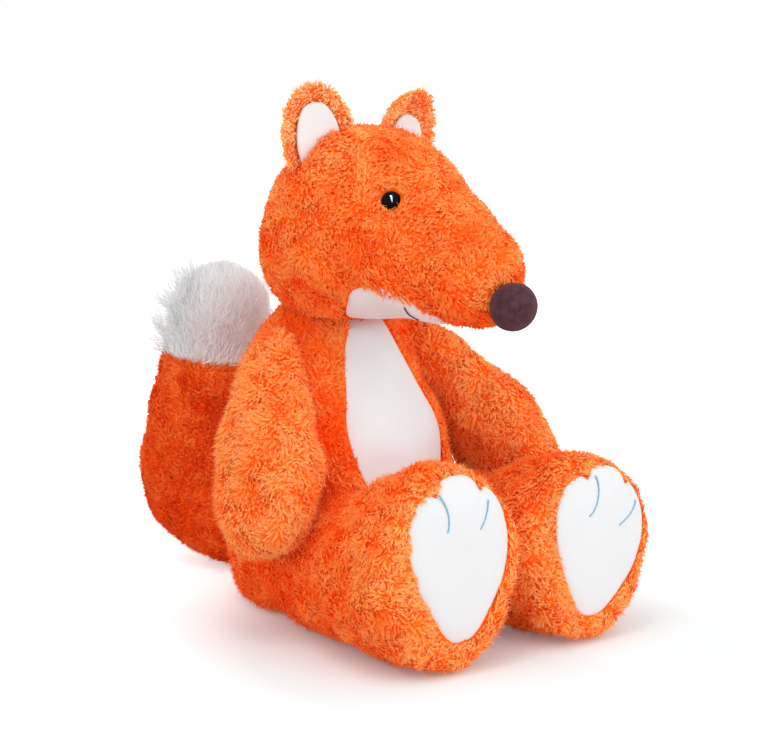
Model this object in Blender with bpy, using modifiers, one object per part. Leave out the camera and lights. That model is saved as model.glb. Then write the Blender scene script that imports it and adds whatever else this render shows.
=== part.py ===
"""A plush fox that sits on the floor with its legs stretched forward and its tail standing behind it.

Frame: the origin is on the floor under the middle of the body, +Z is up, the fox looks along -Y
and its left side is +X. All lengths are in metres.

Each stuffed part is a fur cloth cover, open where it is sewn to its neighbour, round a loose filling.
The smooth white panels are let into windows in the covers. A moving part hangs on an empty that
stands on its joint's axis, and its meshes are written in that empty's own frame.
"""

import math

import bmesh
import bpy
import numpy as np
from mathutils import Euler, Matrix, Vector

MM = 0.001

# Cloth, thread and clearances
CLOTH = 3.0 * MM
PANEL_SINK = 0.5 * MM
SEAM_GAP = 0.3 * MM
FILLING_GAP = 0.8 * MM
FLAT_CUT = 0.5 * MM
OVERRUN = 20.0 * MM
THREAD_RADIUS = 0.8 * MM
EYE_SINK = 0.25 * MM
MERGE = 0.03 * MM

# Body
BODY_HEIGHT = 158.0 * MM
BODY_HALF_WIDTH = 57.0 * MM
BODY_HALF_DEPTH = 59.0 * MM
NECK_HOLE_RADIUS = 17.0 * MM
# Each ring: height share, half-width share, half-depth share, shift to the back share of the depth
BODY_RING_SHARES = (
    (-0.020, 0.00, 0.00, 0.00),
    (-0.015, 0.82, 0.82, 0.00),
    (0.080, 1.00, 1.00, -0.08),
    (0.300, 1.03, 1.03, -0.16),
    (0.560, 0.99, 0.97, -0.18),
    (0.800, 0.83, 0.81, 0.05),
    (1.000, 0.57, 0.54, -0.02),
    (1.100, 0.00, 0.00, -0.02),
)

# White bib: outline points as shares of its half-width and height, seen from the front
BIB_HALF_WIDTH = 32.0 * MM
BIB_BOTTOM = 48.0 * MM
BIB_TOP_GAP = 2.0 * MM
BIB_TOP = BODY_HEIGHT - BIB_TOP_GAP
BIB_OUTLINE_SHARES = (
    (0.00, 0.00),
    (0.40, 0.05),
    (0.74, 0.20),
    (0.92, 0.42),
    (0.76, 0.67),
    (0.56, 0.85),
    (0.34, 1.00),
)

# Pellet pouch in the seat, in a recess of the filling that is open below
POUCH_HALF_WIDTH = 34.0 * MM
POUCH_HALF_HEIGHT = 10.0 * MM
POUCH_FLOOR = 3.6 * MM
POUCH_MOUTH_RADIUS = 22.0 * MM
# Each ring: rise share, radius share
POUCH_RING_SHARES = ((-1.0, 0.0), (-0.9, 0.7), (0.0, 1.0), (0.9, 0.7), (1.0, 0.0))

# Head, in the frame of its neck joint
NECK_BACK = -8.0 * MM
HEAD_BACK = 42.0 * MM
HEAD_LENGTH = 172.0 * MM
HEAD_HALF_WIDTH = 50.0 * MM
HEAD_HALF_HEIGHT = 52.0 * MM
HEAD_MIDDLE = 44.0 * MM
# Each ring: station share from the back, half-width share, half-height share, rise share
HEAD_RING_SHARES = (
    (0.000, 0.00, 0.00, -0.33),
    (0.050, 0.52, 0.54, -0.33),
    (0.200, 0.96, 0.98, -0.11),
    (0.400, 1.03, 1.05, 0.03),
    (0.600, 0.79, 0.79, -0.03),
    (0.780, 0.58, 0.61, -0.25),
    (0.930, 0.40, 0.44, -0.34),
    (0.995, 0.27, 0.30, -0.30),
    (1.000, 0.00, 0.00, -0.30),
)

# Chin panel, seen from below: shares of its half-width and length, from the throat
CHIN_HALF_WIDTH = 36.0 * MM
CHIN_START = 30.0 * MM
CHIN_END = 97.0 * MM
CHIN_RISE = 30.0 * MM
CHIN_OUTLINE_SHARES = (
    (0.00, 0.00),
    (0.62, 0.06),
    (0.82, 0.17),
    (0.94, 0.30),
    (0.93, 0.44),
    (0.90, 0.59),
    (0.82, 0.72),
    (0.66, 0.84),
    (0.49, 0.92),
    (0.30, 0.98),
    (0.00, 1.00),
)

# Nose
NOSE_HALF_WIDTH = 13.0 * MM
NOSE_HALF_DEPTH = 11.0 * MM
NOSE_HALF_HEIGHT = 13.0 * MM
NOSE_DROP = 14.6 * MM
NOSE_FORWARD = 4.4 * MM

# Eyes: a moulded dome on a shank, held behind the cloth by a washer
EYE_RADIUS = 5.0 * MM
EYE_HEIGHT = 3.6 * MM
EYE_ROUND_SHARE = 0.62
SHANK_RADIUS = 1.8 * MM
SHANK_LENGTH = 11.0 * MM
WASHER_RADIUS = 6.0 * MM
WASHER_THICKNESS = 1.4 * MM
EYE_STATION_SHARE = 0.608
EYE_OUT_SHARE = 0.66
EYE_UP_SHARE = 0.46
EYE_FORWARD_SHARE = 0.25

# Ears, in the head's frame
EAR_HALF_WIDTH = 20.0 * MM
EAR_HEIGHT = {"left": 31.0 * MM, "right": 35.5 * MM}
EAR_HALF_THICKNESS = 4.0 * MM
EAR_CURL = {"left": 14.0 * MM, "right": 7.0 * MM}
EAR_CUP = 9.0 * MM
EAR_OUT = 26.0 * MM
EAR_STATION = 53.0 * MM
EAR_FOOT = 84.0 * MM
EAR_LEAN_OUT_DEG = 12.0
EAR_LEAN_FORWARD_DEG = 4.0
EAR_FACE_OUT_DEG = 12.0
# Each ring: height share, half-width share, half-thickness share, curl share
EAR_RING_SHARES = (
    (-0.30, 0.00, 0.00, 0.00),
    (-0.20, 0.90, 0.95, 0.00),
    (0.15, 1.05, 1.00, 0.00),
    (0.45, 0.98, 1.00, 0.08),
    (0.72, 0.76, 0.95, 0.34),
    (0.93, 0.44, 0.80, 0.80),
    (1.00, 0.00, 0.00, 1.00),
)
LINING_HALF_WIDTH = 12.5 * MM
LINING_FOOT = -4.0 * MM
LINING_TOP = {"left": 17.0 * MM, "right": 25.0 * MM}
LINING_DEPTH = 1.6 * MM
LINING_OUTLINE_SHARES = (
    (0.00, 0.00),
    (0.90, 0.00),
    (1.00, 0.30),
    (0.88, 0.62),
    (0.52, 0.90),
    (0.00, 1.00),
)

# Mouth line down each side of the chin panel, in the head's frame
MOUTH_STATION = 82.0 * MM
MOUTH_SLANT = 3.0 * MM
MOUTH_BOW = 1.5 * MM
MOUTH_OUT = 24.5 * MM
MOUTH_IN = 13.0 * MM

# Arms: the frame's origin is the top of the shoulder seam, and the arm hangs along -Z
SHOULDER_OUT = 33.0 * MM
SHOULDER_BACK = -2.0 * MM
SHOULDER_HEIGHT = 147.0 * MM
ARM_FLARE_DEG = 19.0
ARM_LEFT_SLANT_DEG = 37.0
ARM_RIGHT_SLANT_DEG = 28.0
ARM_LENGTH = 126.0 * MM
ARM_HALF_WIDTH = 33.5 * MM
ARM_HALF_THICKNESS = 20.5 * MM
ARM_OUT = 17.0 * MM
# Each ring: length share from the top, half-width share, half-thickness share, outward share
ARM_RING_SHARES = (
    (0.000, 0.00, 0.00, 0.30),
    (0.040, 0.36, 0.36, 0.40),
    (0.240, 0.66, 0.70, 0.70),
    (0.520, 0.90, 0.98, 1.00),
    (0.800, 1.05, 1.05, 1.00),
    (0.970, 0.62, 0.60, 1.00),
    (1.000, 0.00, 0.00, 1.00),
)

# Legs: the frame's origin is the back of the sole seam on the floor, and the leg lies along -Y
HIP_OUT = 41.0 * MM
HIP_FRONT = -12.0 * MM
LEG_LENGTH = 146.0 * MM
LEG_HALF_WIDTH = 31.0 * MM
LEG_HALF_HEIGHT = 32.0 * MM
FOOT_HALF_WIDTH = 42.0 * MM
FOOT_HALF_HEIGHT = {"left": 47.0 * MM, "right": 50.0 * MM}
LEG_SPLAY_DEG = 2.0
# Each ring: length share, then half-width, half-height and middle as shares of the leg's half-sizes
LEG_RING_SHARES = (
    (-0.04, 0.00, 0.00, 1.00),
    (0.00, 0.66, 0.70, 1.00),
    (0.22, 0.98, 1.06, 1.06),
    (0.48, 1.02, 1.13, 1.13),
)
# Each ring: length share, half-width share of the foot, half-height share of the foot
FOOT_RING_SHARES = (
    (0.74, 0.96, 0.96),
    (0.95, 1.04, 1.03),
    (1.00, 0.68, 0.70),
    (1.00, 0.00, 0.00),
)
SOLE_HALF_WIDTH = {"left": 32.0 * MM, "right": 30.5 * MM}
SOLE_HEIGHT_SHARE = 0.8
SOLE_RISE = {"left": 5.0 * MM, "right": 6.5 * MM}
SOLE_DEPTH = 16.0 * MM
# Half outlines of the sole, toes up: shares of the half-width and half-height
SOLE_OUTLINE_SHARES = (
    (0.00, -1.00),
    (0.28, -0.93),
    (0.57, -0.64),
    (0.83, -0.31),
    (0.97, 0.04),
    (1.00, 0.28),
    (0.95, 0.52),
    (0.79, 0.71),
    (0.57, 0.82),
    (0.44, 0.79),
    (0.37, 0.90),
    (0.22, 0.98),
    (0.00, 1.00),
)
# The left sole is sewn on a little turned, clockwise from the front, and both a little to +X
SOLE_LEFT_ROLL_DEG = 12.0
SOLE_ACROSS = {"left": 1.5 * MM, "right": 2.0 * MM}
# Four points down each toe line, in the shares of the sole's outline
TOE_LINE_SHARES = {
    "left": (
        ((-0.29, 0.77), (-0.27, 0.62), (-0.31, 0.45), (-0.43, 0.32)),
        ((0.67, 0.59), (0.57, 0.45), (0.42, 0.33), (0.28, 0.24)),
    ),
    "right": (
        ((-0.37, 0.74), (-0.33, 0.62), (-0.31, 0.50), (-0.35, 0.38)),
        ((0.54, 0.68), (0.47, 0.55), (0.38, 0.43), (0.30, 0.36)),
    ),
}

# Tail: the frame's origin is the middle of its round root, behind the body
TAIL_ROOT_RADIUS = 14.0 * MM
TAIL_ROOT_HEIGHT = 20.5 * MM
TAIL_HALF_WIDTH = 35.0 * MM
TAIL_BACK = 62.0 * MM
TAIL_RISE = 149.0 * MM
TAIL_SPLIT_SHARE = 0.655
# Each ring: back share, rise share, half-width share, tilt from the level in degrees
TAIL_RING_SHARES = (
    (0.02, 0.00, 0.42, 0.0),
    (0.52, 0.01, 0.74, 12.0),
    (0.92, 0.10, 1.02, 55.0),
    (1.00, 0.27, 1.03, 84.0),
    (0.90, 0.48, 0.88, 97.0),
    (0.76, 0.68, 0.75, 98.0),
    (0.64, 0.87, 0.74, 97.0),
    (0.61, 0.98, 0.40, 94.0),
)
TAIL_TIP_SHARES = (0.60, 1.00)

# Counts: cage segments round and steps along, sides of a cylinder, steps of a thread
BODY_SEGMENTS = 10
HEAD_SEGMENTS = 10
LIMB_SEGMENTS = 8
BALL_STEPS = 5
CYLINDER_SIDES = 24
SHANK_SIDES = 16
THREAD_STEPS = 6

COLOURS = {
    "orange_fur": (0.90, 0.17, 0.025),
    "white_plush": (0.86, 0.86, 0.88),
    "white_long_fur": (0.80, 0.78, 0.78),
    "nose_velour": (0.085, 0.035, 0.045),
    "eye_plastic": (0.008, 0.006, 0.008),
    "washer_plastic": (0.75, 0.75, 0.72),
    "blue_thread": (0.12, 0.38, 0.60),
    "filling": (0.85, 0.85, 0.84),
    "pouch_cloth": (0.60, 0.60, 0.58),
}
ROUGHNESS = {"eye_plastic": 0.08, "washer_plastic": 0.4}
CLOTH_ROUGHNESS = 0.9


def clear_scene():
    """Removes the scene's objects."""
    for obj in list(bpy.data.objects):
        bpy.data.objects.remove(obj)


def collection(name):
    """A new collection under the scene's own."""
    made = bpy.data.collections.new(name)
    bpy.context.scene.collection.children.link(made)
    return made


def material(name):
    """The named finish, made once."""
    found = bpy.data.materials.get(name)
    if found:
        return found
    made = bpy.data.materials.new(name)
    made.use_nodes = True
    shader = made.node_tree.nodes["Principled BSDF"]
    shader.inputs["Base Color"].default_value = (*COLOURS[name], 1.0)
    shader.inputs["Roughness"].default_value = ROUGHNESS.get(name, CLOTH_ROUGHNESS)
    shader.inputs["Metallic"].default_value = 0.0
    return made


def joint_frame(name, place, turn=(0.0, 0.0, 0.0), parent=None):
    """An empty on a joint's axis, turned by Euler angles in degrees."""
    empty = bpy.data.objects.new(name, None)
    bpy.context.scene.collection.objects.link(empty)
    empty.location = place
    empty.rotation_euler = Euler([math.radians(angle) for angle in turn])
    empty.parent = parent
    bpy.context.view_layer.update()
    return empty


def new_object(name, mesh, group, frame=None):
    """An object for a mesh that is written in the frame of an empty, or in the world's."""
    obj = bpy.data.objects.new(name, mesh)
    group.objects.link(obj)
    obj.parent = frame
    return obj


def as_cutter(obj):
    """Keeps an object out of the model."""
    obj.hide_render = True
    obj.display_type = "WIRE"
    return obj


def ring_cage(name, rings, segments):
    """A mesh that starts as a UV sphere and whose rings are moved onto (centre, half-axis, half-axis).

    Softening draws a ring in to the middles of its sides, so the ring is made larger by as much.
    """
    steps = len(rings) - 1
    fullness = 1 / math.cos(math.pi / segments)
    bm = bmesh.new()
    bmesh.ops.create_uvsphere(bm, u_segments=segments, v_segments=steps, radius=1.0)
    for vertex in bm.verts:
        polar = math.acos(max(-1.0, min(1.0, vertex.co.z)))
        row = round(polar * steps / math.pi)
        centre, across, along = rings[row]
        angle = math.atan2(vertex.co.y, vertex.co.x)
        at_pole = row in (0, steps)
        swing = Vector() if at_pole else across * math.cos(angle) + along * math.sin(angle)
        vertex.co = centre + swing * fullness
    if bm.calc_volume(signed=True) < 0:
        bmesh.ops.reverse_faces(bm, faces=bm.faces)
    mesh = bpy.data.meshes.new(name)
    bm.to_mesh(mesh)
    bm.free()
    mesh.shade_smooth()
    return mesh


def soften(obj, levels=1):
    """Rounds a cage with Subdivision Surface."""
    modifier = obj.modifiers.new("soften", "SUBSURF")
    modifier.levels = levels
    modifier.render_levels = levels
    return obj


def grow(obj, distance):
    """Moves a surface along its normals, outwards if the distance is positive."""
    modifier = obj.modifiers.new("grow", "DISPLACE")
    modifier.direction = "NORMAL"
    modifier.mid_level = 0.0
    modifier.strength = distance
    return obj


def boolean(obj, other, operation="DIFFERENCE"):
    """Cuts, joins or keeps the common part of two objects."""
    modifier = obj.modifiers.new(operation.lower(), "BOOLEAN")
    modifier.operation = operation
    modifier.solver = "EXACT"
    modifier.object = other
    return obj


def form(name, mesh, group, frame, distance=0.0, levels=1):
    """A softened form, grown or shrunk by a distance."""
    obj = soften(new_object(name, mesh, group, frame), levels)
    return grow(obj, distance) if distance else obj


def outline_prism(name, points, depth, group, frame, turn, place):
    """A flat outline with an extrusion of half its depth, as a mesh, turned and placed in its frame."""
    curve = bpy.data.curves.new(name, "CURVE")
    curve.dimensions = "2D"
    curve.fill_mode = "BOTH"
    curve.extrude = depth / 2
    spline = curve.splines.new("POLY")
    spline.points.add(len(points) - 1)
    for point, (across, up) in zip(spline.points, points):
        point.co = (across, up, 0.0, 1.0)
    spline.use_cyclic_u = True
    flat = bpy.data.objects.new(name + "_outline", curve)
    bpy.context.scene.collection.objects.link(flat)
    bpy.context.view_layer.update()
    graph = bpy.context.evaluated_depsgraph_get()
    mesh = bpy.data.meshes.new_from_object(flat.evaluated_get(graph))
    bpy.data.objects.remove(flat)
    bm = bmesh.new()
    bm.from_mesh(mesh)
    bmesh.ops.remove_doubles(bm, verts=bm.verts, dist=MERGE)
    bmesh.ops.recalc_face_normals(bm, faces=bm.faces)
    bm.to_mesh(mesh)
    bm.free()
    mesh.transform(Matrix.Translation(place) @ turn.to_matrix().to_4x4())
    return as_cutter(new_object(name, mesh, group, frame))


def cylinder(name, radius, length, group, frame, place=(0, 0, 0), axis=(0, 0, 1), sides=CYLINDER_SIDES):
    """A closed cylinder about an axis, centred on its place."""
    bm = bmesh.new()
    turn = Vector((0, 0, 1)).rotation_difference(Vector(axis)).to_matrix().to_4x4()
    bmesh.ops.create_cone(
        bm,
        cap_ends=True,
        segments=sides,
        radius1=radius,
        radius2=radius,
        depth=length,
        matrix=Matrix.Translation(place) @ turn,
    )
    mesh = bpy.data.meshes.new(name)
    bm.to_mesh(mesh)
    bm.free()
    return new_object(name, mesh, group, frame)


def box(name, low, high, group, frame=None):
    """A box between two corners."""
    bm = bmesh.new()
    size = Vector(high) - Vector(low)
    middle = (Vector(high) + Vector(low)) / 2
    bmesh.ops.create_cube(bm, size=1.0, matrix=Matrix.Translation(middle) @ Matrix.Diagonal((*size, 1)))
    mesh = bpy.data.meshes.new(name)
    bm.to_mesh(mesh)
    bm.free()
    return as_cutter(new_object(name, mesh, group, frame))


def both_sides(shares, half_width, foot, top):
    """A whole outline, counter-clockwise, from the right half's shares, which run from the foot up."""
    right = [(across * half_width, foot + up * (top - foot)) for across, up in shares]
    left = [(-across, up) for across, up in reversed(right) if across > 0]
    return right + left


def rolled(points, angle, middle, shift):
    """Places across and up, turned clockwise about a middle height and shifted across."""
    cosine, sine = math.cos(math.radians(angle)), math.sin(math.radians(angle))
    return [
        (shift + across * cosine + (up - middle) * sine, middle + (up - middle) * cosine - across * sine)
        for across, up in points
    ]


def shrunk(points, distance):
    """A closed, counter-clockwise outline moved inwards by a distance."""
    here = np.array(points)
    ahead = np.roll(here, -1, axis=0) - np.roll(here, 1, axis=0)
    inward = np.stack([-ahead[:, 1], ahead[:, 0]], axis=1)
    inward /= np.linalg.norm(inward, axis=1)[:, None]
    return [tuple(point) for point in here + inward * distance]


def thread(name, points, group, frame):
    """A stitched line: a tube along a smooth run of points."""
    curve = bpy.data.curves.new(name, "CURVE")
    curve.dimensions = "3D"
    curve.bevel_depth = THREAD_RADIUS
    curve.bevel_resolution = 1
    curve.use_fill_caps = True
    spline = curve.splines.new("POLY")
    spline.points.add(len(points) - 1)
    for point, place in zip(spline.points, points):
        point.co = (*place, 1.0)
    obj = bpy.data.objects.new(name, curve)
    group.objects.link(obj)
    obj.parent = frame
    obj.data.materials.append(material("blue_thread"))
    return obj


def surface_point(obj, start, direction):
    """Where a ray in the object's own frame meets its evaluated surface, and the normal there."""
    bpy.context.view_layer.update()
    graph = bpy.context.evaluated_depsgraph_get()
    surface = obj.evaluated_get(graph)
    hit, place, normal, _ = surface.ray_cast(Vector(start), Vector(direction).normalized())
    if not hit:
        raise ValueError(f"{obj.name}: the ray from {start} along {direction} meets nothing")
    return place, normal


def cover_with_window(names, mesh, frame, window, cuts, walls=()):
    """A cloth cover and the panel let into its window, two shells of one form.

    The form is cut by each of cuts, and its hollow by each of walls, which leaves cloth there.
    """
    cover_name, panel_name = names
    inside = as_cutter(form(cover_name + "_inside", mesh, CUTTERS, frame, -CLOTH))
    for wall in walls:
        boolean(inside, wall)
    wide, narrow = window
    cover = form(cover_name, mesh, PARTS, frame)
    panel = form(panel_name, mesh.copy(), PARTS, frame, -PANEL_SINK)
    for obj in (cover, panel):
        for cut in cuts:
            boolean(obj, cut)
        boolean(obj, inside)
    boolean(cover, wide)
    boolean(panel, narrow, "INTERSECT")
    return cover, panel


def finish(obj, name):
    """Gives an object its one finish."""
    obj.data.materials.clear()
    obj.data.materials.append(material(name))
    return obj


def body_rings():
    """The body's rings, from the seat to above the neck."""
    return [
        (
            Vector((0, shift * BODY_HALF_DEPTH, up * BODY_HEIGHT)),
            Vector((wide * BODY_HALF_WIDTH, 0, 0)),
            Vector((0, deep * BODY_HALF_DEPTH, 0)),
        )
        for up, wide, deep, shift in BODY_RING_SHARES
    ]


def make_body():
    """The body's cover, bib, filling and pellet pouch.

    Returns the bare form, and the one grown by a seam gap, which cuts the limbs.
    """
    mesh = ring_cage("body_cage", body_rings(), BODY_SEGMENTS)
    bare = as_cutter(form("body_form", mesh, CUTTERS, None))
    grown = as_cutter(form("body_grown", mesh, CUTTERS, None, SEAM_GAP))
    reach = BODY_HALF_DEPTH + OVERRUN
    top = BODY_HEIGHT + OVERRUN * 2
    above = box("above_neck", (-reach, -reach, BODY_HEIGHT), (reach, reach, top), CUTTERS)
    below = box("below_floor", (-reach, -reach, -OVERRUN), (reach, reach, 0), CUTTERS)
    wall = box("neck_wall", (-reach, -reach, BODY_HEIGHT - CLOTH), (reach, reach, top), CUTTERS)
    lowest = CLOTH + SEAM_GAP
    floor = box("below_body_filling", (-reach, -reach, -OVERRUN), (reach, reach, lowest), CUTTERS)
    outline = both_sides(BIB_OUTLINE_SHARES, BIB_HALF_WIDTH, BIB_BOTTOM, BIB_TOP)
    face_front = Euler((math.pi / 2, 0, 0))
    depth = BODY_HALF_DEPTH * 2
    middle = Vector((0, -depth / 2 - CLOTH, 0))
    narrow = shrunk(outline, SEAM_GAP)
    window = (
        outline_prism("bib_window", outline, depth, CUTTERS, None, face_front, middle),
        outline_prism("bib_outline", narrow, depth, CUTTERS, None, face_front, middle),
    )
    names = ("body_cover", "bib_panel")
    cover, bib = cover_with_window(names, mesh, None, window, (above, below), (wall,))
    hole_place = (0, NECK_BACK, BODY_HEIGHT)
    hole = as_cutter(cylinder("body_neck_hole", NECK_HOLE_RADIUS, OVERRUN, CUTTERS, None, hole_place))
    boolean(cover, hole)
    filling = form("body_filling", mesh.copy(), PARTS, None, -CLOTH - FILLING_GAP)
    highest = BODY_HEIGHT - CLOTH - SEAM_GAP
    boolean(filling, box("above_body_filling", (-reach, -reach, highest), (reach, reach, top), CUTTERS))
    boolean(filling, floor)
    pouch_mesh = pouch_cage()
    pouch = soften(new_object("pellet_pouch", pouch_mesh, PARTS))
    pocket = as_cutter(grow(soften(new_object("pouch_pocket", pouch_mesh, CUTTERS)), SEAM_GAP))
    mouth = as_cutter(cylinder("pouch_mouth", POUCH_MOUTH_RADIUS, POUCH_HALF_HEIGHT * 2, CUTTERS, None))
    boolean(filling, pocket)
    boolean(filling, mouth)
    finish(cover, "orange_fur")
    finish(bib, "white_plush")
    finish(filling, "filling")
    finish(pouch, "pouch_cloth")
    return bare, grown


def pouch_cage():
    """A flat round cushion of pellets on the seat's cloth."""
    middle = POUCH_FLOOR + POUCH_HALF_HEIGHT
    rings = []
    for rise_share, wide_share in POUCH_RING_SHARES:
        rings.append(
            (
                Vector((0, 0, middle + rise_share * POUCH_HALF_HEIGHT)),
                Vector((wide_share * POUCH_HALF_WIDTH, 0, 0)),
                Vector((0, wide_share * POUCH_HALF_WIDTH, 0)),
            )
        )
    return ring_cage("pouch_cage", rings, LIMB_SEGMENTS)


def head_rings():
    """The head's rings in the neck's frame, from the back of the skull to the tip of the snout."""
    return [
        (
            Vector((0, HEAD_BACK - station * HEAD_LENGTH, HEAD_MIDDLE + rise * HEAD_HALF_HEIGHT)),
            Vector((wide * HEAD_HALF_WIDTH, 0, 0)),
            Vector((0, 0, tall * HEAD_HALF_HEIGHT)),
        )
        for station, wide, tall, rise in HEAD_RING_SHARES
    ]


def make_head(frame):
    """The head's cover, chin panel and filling.

    Returns the bare form, the one grown by a seam gap, the cover, the chin panel and the filling.
    """
    mesh = ring_cage("head_cage", head_rings(), HEAD_SEGMENTS)
    bare = as_cutter(form("head_form", mesh, CUTTERS, frame))
    grown = as_cutter(form("head_grown", mesh, CUTTERS, frame, SEAM_GAP))
    reach = HEAD_LENGTH
    low = -OVERRUN * 2
    below = box("below_head", (-reach, -reach, low), (reach, reach, SEAM_GAP), CUTTERS, frame)
    wall = box("head_wall", (-reach, -reach, low), (reach, reach, SEAM_GAP + CLOTH), CUTTERS, frame)
    outline = both_sides(CHIN_OUTLINE_SHARES, CHIN_HALF_WIDTH, CHIN_START, CHIN_END)
    face_down = Euler((math.pi, 0, 0))
    middle = Vector()
    depth = CHIN_RISE * 2
    narrow = shrunk(outline, SEAM_GAP)
    window = (
        outline_prism("chin_window", outline, depth, CUTTERS, frame, face_down, middle),
        outline_prism("chin_outline", narrow, depth, CUTTERS, frame, face_down, middle),
    )
    names = ("head_cover", "chin_panel")
    cover, chin = cover_with_window(names, mesh, frame, window, (below,), (wall,))
    neck_hole = as_cutter(cylinder("head_neck_hole", NECK_HOLE_RADIUS, OVERRUN, CUTTERS, frame))
    for obj in (cover, chin):
        boolean(obj, neck_hole)
    filling = form("head_filling", mesh.copy(), PARTS, frame, -CLOTH - FILLING_GAP)
    lowest = SEAM_GAP * 2 + CLOTH
    floor = box("below_head_filling", (-reach, -reach, low), (reach, reach, lowest), CUTTERS, frame)
    boolean(filling, floor)
    finish(cover, "orange_fur")
    finish(chin, "white_plush")
    finish(filling, "filling")
    return bare, grown, cover, chin, filling


def make_nose(frame, head_grown):
    """The velour nose, a stuffed ball sewn onto the tip of the snout."""
    station = HEAD_BACK - HEAD_LENGTH
    tip_rise = HEAD_MIDDLE + HEAD_RING_SHARES[-1][3] * HEAD_HALF_HEIGHT
    centre = Vector((0, station - NOSE_FORWARD, tip_rise - NOSE_DROP))
    rings = []
    for step in range(BALL_STEPS + 1):
        polar = math.pi * step / BALL_STEPS
        rings.append(
            (
                centre + Vector((0, math.cos(polar) * NOSE_HALF_DEPTH, 0)),
                Vector((math.sin(polar) * NOSE_HALF_WIDTH, 0, 0)),
                Vector((0, 0, math.sin(polar) * NOSE_HALF_HEIGHT)),
            )
        )
    nose = soften(new_object("nose", ring_cage("nose_cage", rings, LIMB_SEGMENTS), PARTS, frame))
    boolean(nose, head_grown)
    finish(nose, "nose_velour")


def dome_cage(place, out):
    """The rings of an eye's dome about its axis, from the front to the back."""
    turn = Vector((0, 0, 1)).rotation_difference(out)
    across, along = turn @ Vector((1, 0, 0)), turn @ Vector((0, 1, 0))
    rings = []
    for step in range(BALL_STEPS + 1):
        polar = math.pi * step / BALL_STEPS
        radius = math.sin(polar) ** EYE_ROUND_SHARE * EYE_RADIUS
        centre = place + out * (math.cos(polar) * EYE_HEIGHT - EYE_SINK)
        rings.append((centre, across * radius, along * radius))
    return ring_cage("eye_cage", rings, LIMB_SEGMENTS)


def make_eye(side_name, side, frame, head, head_grown, cover, filling):
    """One safety eye: a glossy dome on a shank, and the washer that clamps the cloth behind it."""
    out = Vector((side * EYE_OUT_SHARE, -EYE_FORWARD_SHARE, EYE_UP_SHARE)).normalized()
    centre = Vector((0, HEAD_BACK - EYE_STATION_SHARE * HEAD_LENGTH, HEAD_MIDDLE))
    place, out = surface_point(head, centre + out * HEAD_LENGTH, -out)
    dome = soften(new_object(f"eye_{side_name}", dome_cage(place, out), PARTS, frame))
    boolean(dome, head_grown)
    middle = place - out * (SHANK_LENGTH / 2 - SEAM_GAP * 2)
    shank_name, hole_name = f"eye_shank_{side_name}", f"shank_hole_{side_name}"
    hole_radius = SHANK_RADIUS + SEAM_GAP
    shank = cylinder(shank_name, SHANK_RADIUS, SHANK_LENGTH, CUTTERS, frame, middle, out, SHANK_SIDES)
    hole = cylinder(hole_name, hole_radius, SHANK_LENGTH, CUTTERS, frame, middle, out, SHANK_SIDES)
    boolean(dome, as_cutter(shank), "UNION")
    boolean(cover, as_cutter(hole))
    washer_place = place - out * (CLOTH + WASHER_THICKNESS + SEAM_GAP)
    washer_name, pocket_name = f"eye_washer_{side_name}", f"washer_pocket_{side_name}"
    washer = cylinder(washer_name, WASHER_RADIUS, WASHER_THICKNESS, PARTS, frame, washer_place, out)
    boolean(washer, hole)
    pocket_depth = SHANK_LENGTH + OVERRUN
    pocket_place = place + out * (pocket_depth / 2 - SHANK_LENGTH)
    pocket_radius = WASHER_RADIUS + SEAM_GAP
    pocket = cylinder(pocket_name, pocket_radius, pocket_depth, CUTTERS, frame, pocket_place, out)
    boolean(filling, as_cutter(pocket))
    finish(dome, "eye_plastic")
    finish(washer, "washer_plastic")


def make_ear(side_name, side, head_frame, head_grown):
    """One ear: an orange cup with its tip curled forward, and the white lining let into its front."""
    place = Vector((side * EAR_OUT, HEAD_BACK - EAR_STATION, EAR_FOOT))
    turn = (EAR_LEAN_FORWARD_DEG, side * EAR_LEAN_OUT_DEG, side * EAR_FACE_OUT_DEG)
    frame = joint_frame(f"ear_{side_name}_frame", place, turn, head_frame)
    rings = [
        (
            Vector((0, -curl * EAR_CURL[side_name], up * EAR_HEIGHT[side_name])),
            Vector((wide * EAR_HALF_WIDTH, 0, 0)),
            Vector((0, thick * EAR_HALF_THICKNESS, 0)),
        )
        for up, wide, thick, curl in EAR_RING_SHARES
    ]
    mesh = ring_cage("ear_cage", rings, LIMB_SEGMENTS)
    for vertex in mesh.vertices:
        vertex.co.y -= EAR_CUP * (vertex.co.x / EAR_HALF_WIDTH) ** 2
    outline = both_sides(LINING_OUTLINE_SHARES, LINING_HALF_WIDTH, LINING_FOOT, LINING_TOP[side_name])
    face_front = Euler((math.pi / 2, 0, 0))
    depth = EAR_CURL[side_name] + EAR_CUP + EAR_HALF_THICKNESS * 2
    middle = Vector((0, -depth / 2 - EAR_HALF_THICKNESS + LINING_DEPTH, 0))
    pocket = outline_prism(f"lining_pocket_{side_name}", outline, depth, CUTTERS, frame, face_front, middle)
    inner_name, inner_middle = f"lining_outline_{side_name}", middle - Vector((0, SEAM_GAP, 0))
    narrow = shrunk(outline, SEAM_GAP)
    inner = outline_prism(inner_name, narrow, depth, CUTTERS, frame, face_front, inner_middle)
    cover = form(f"ear_{side_name}", mesh, PARTS, frame)
    boolean(cover, pocket)
    lining = form(f"ear_{side_name}_lining", mesh.copy(), PARTS, frame)
    boolean(lining, inner, "INTERSECT")
    for obj in (cover, lining):
        boolean(obj, head_grown)
    finish(cover, "orange_fur")
    finish(lining, "white_plush")


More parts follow.
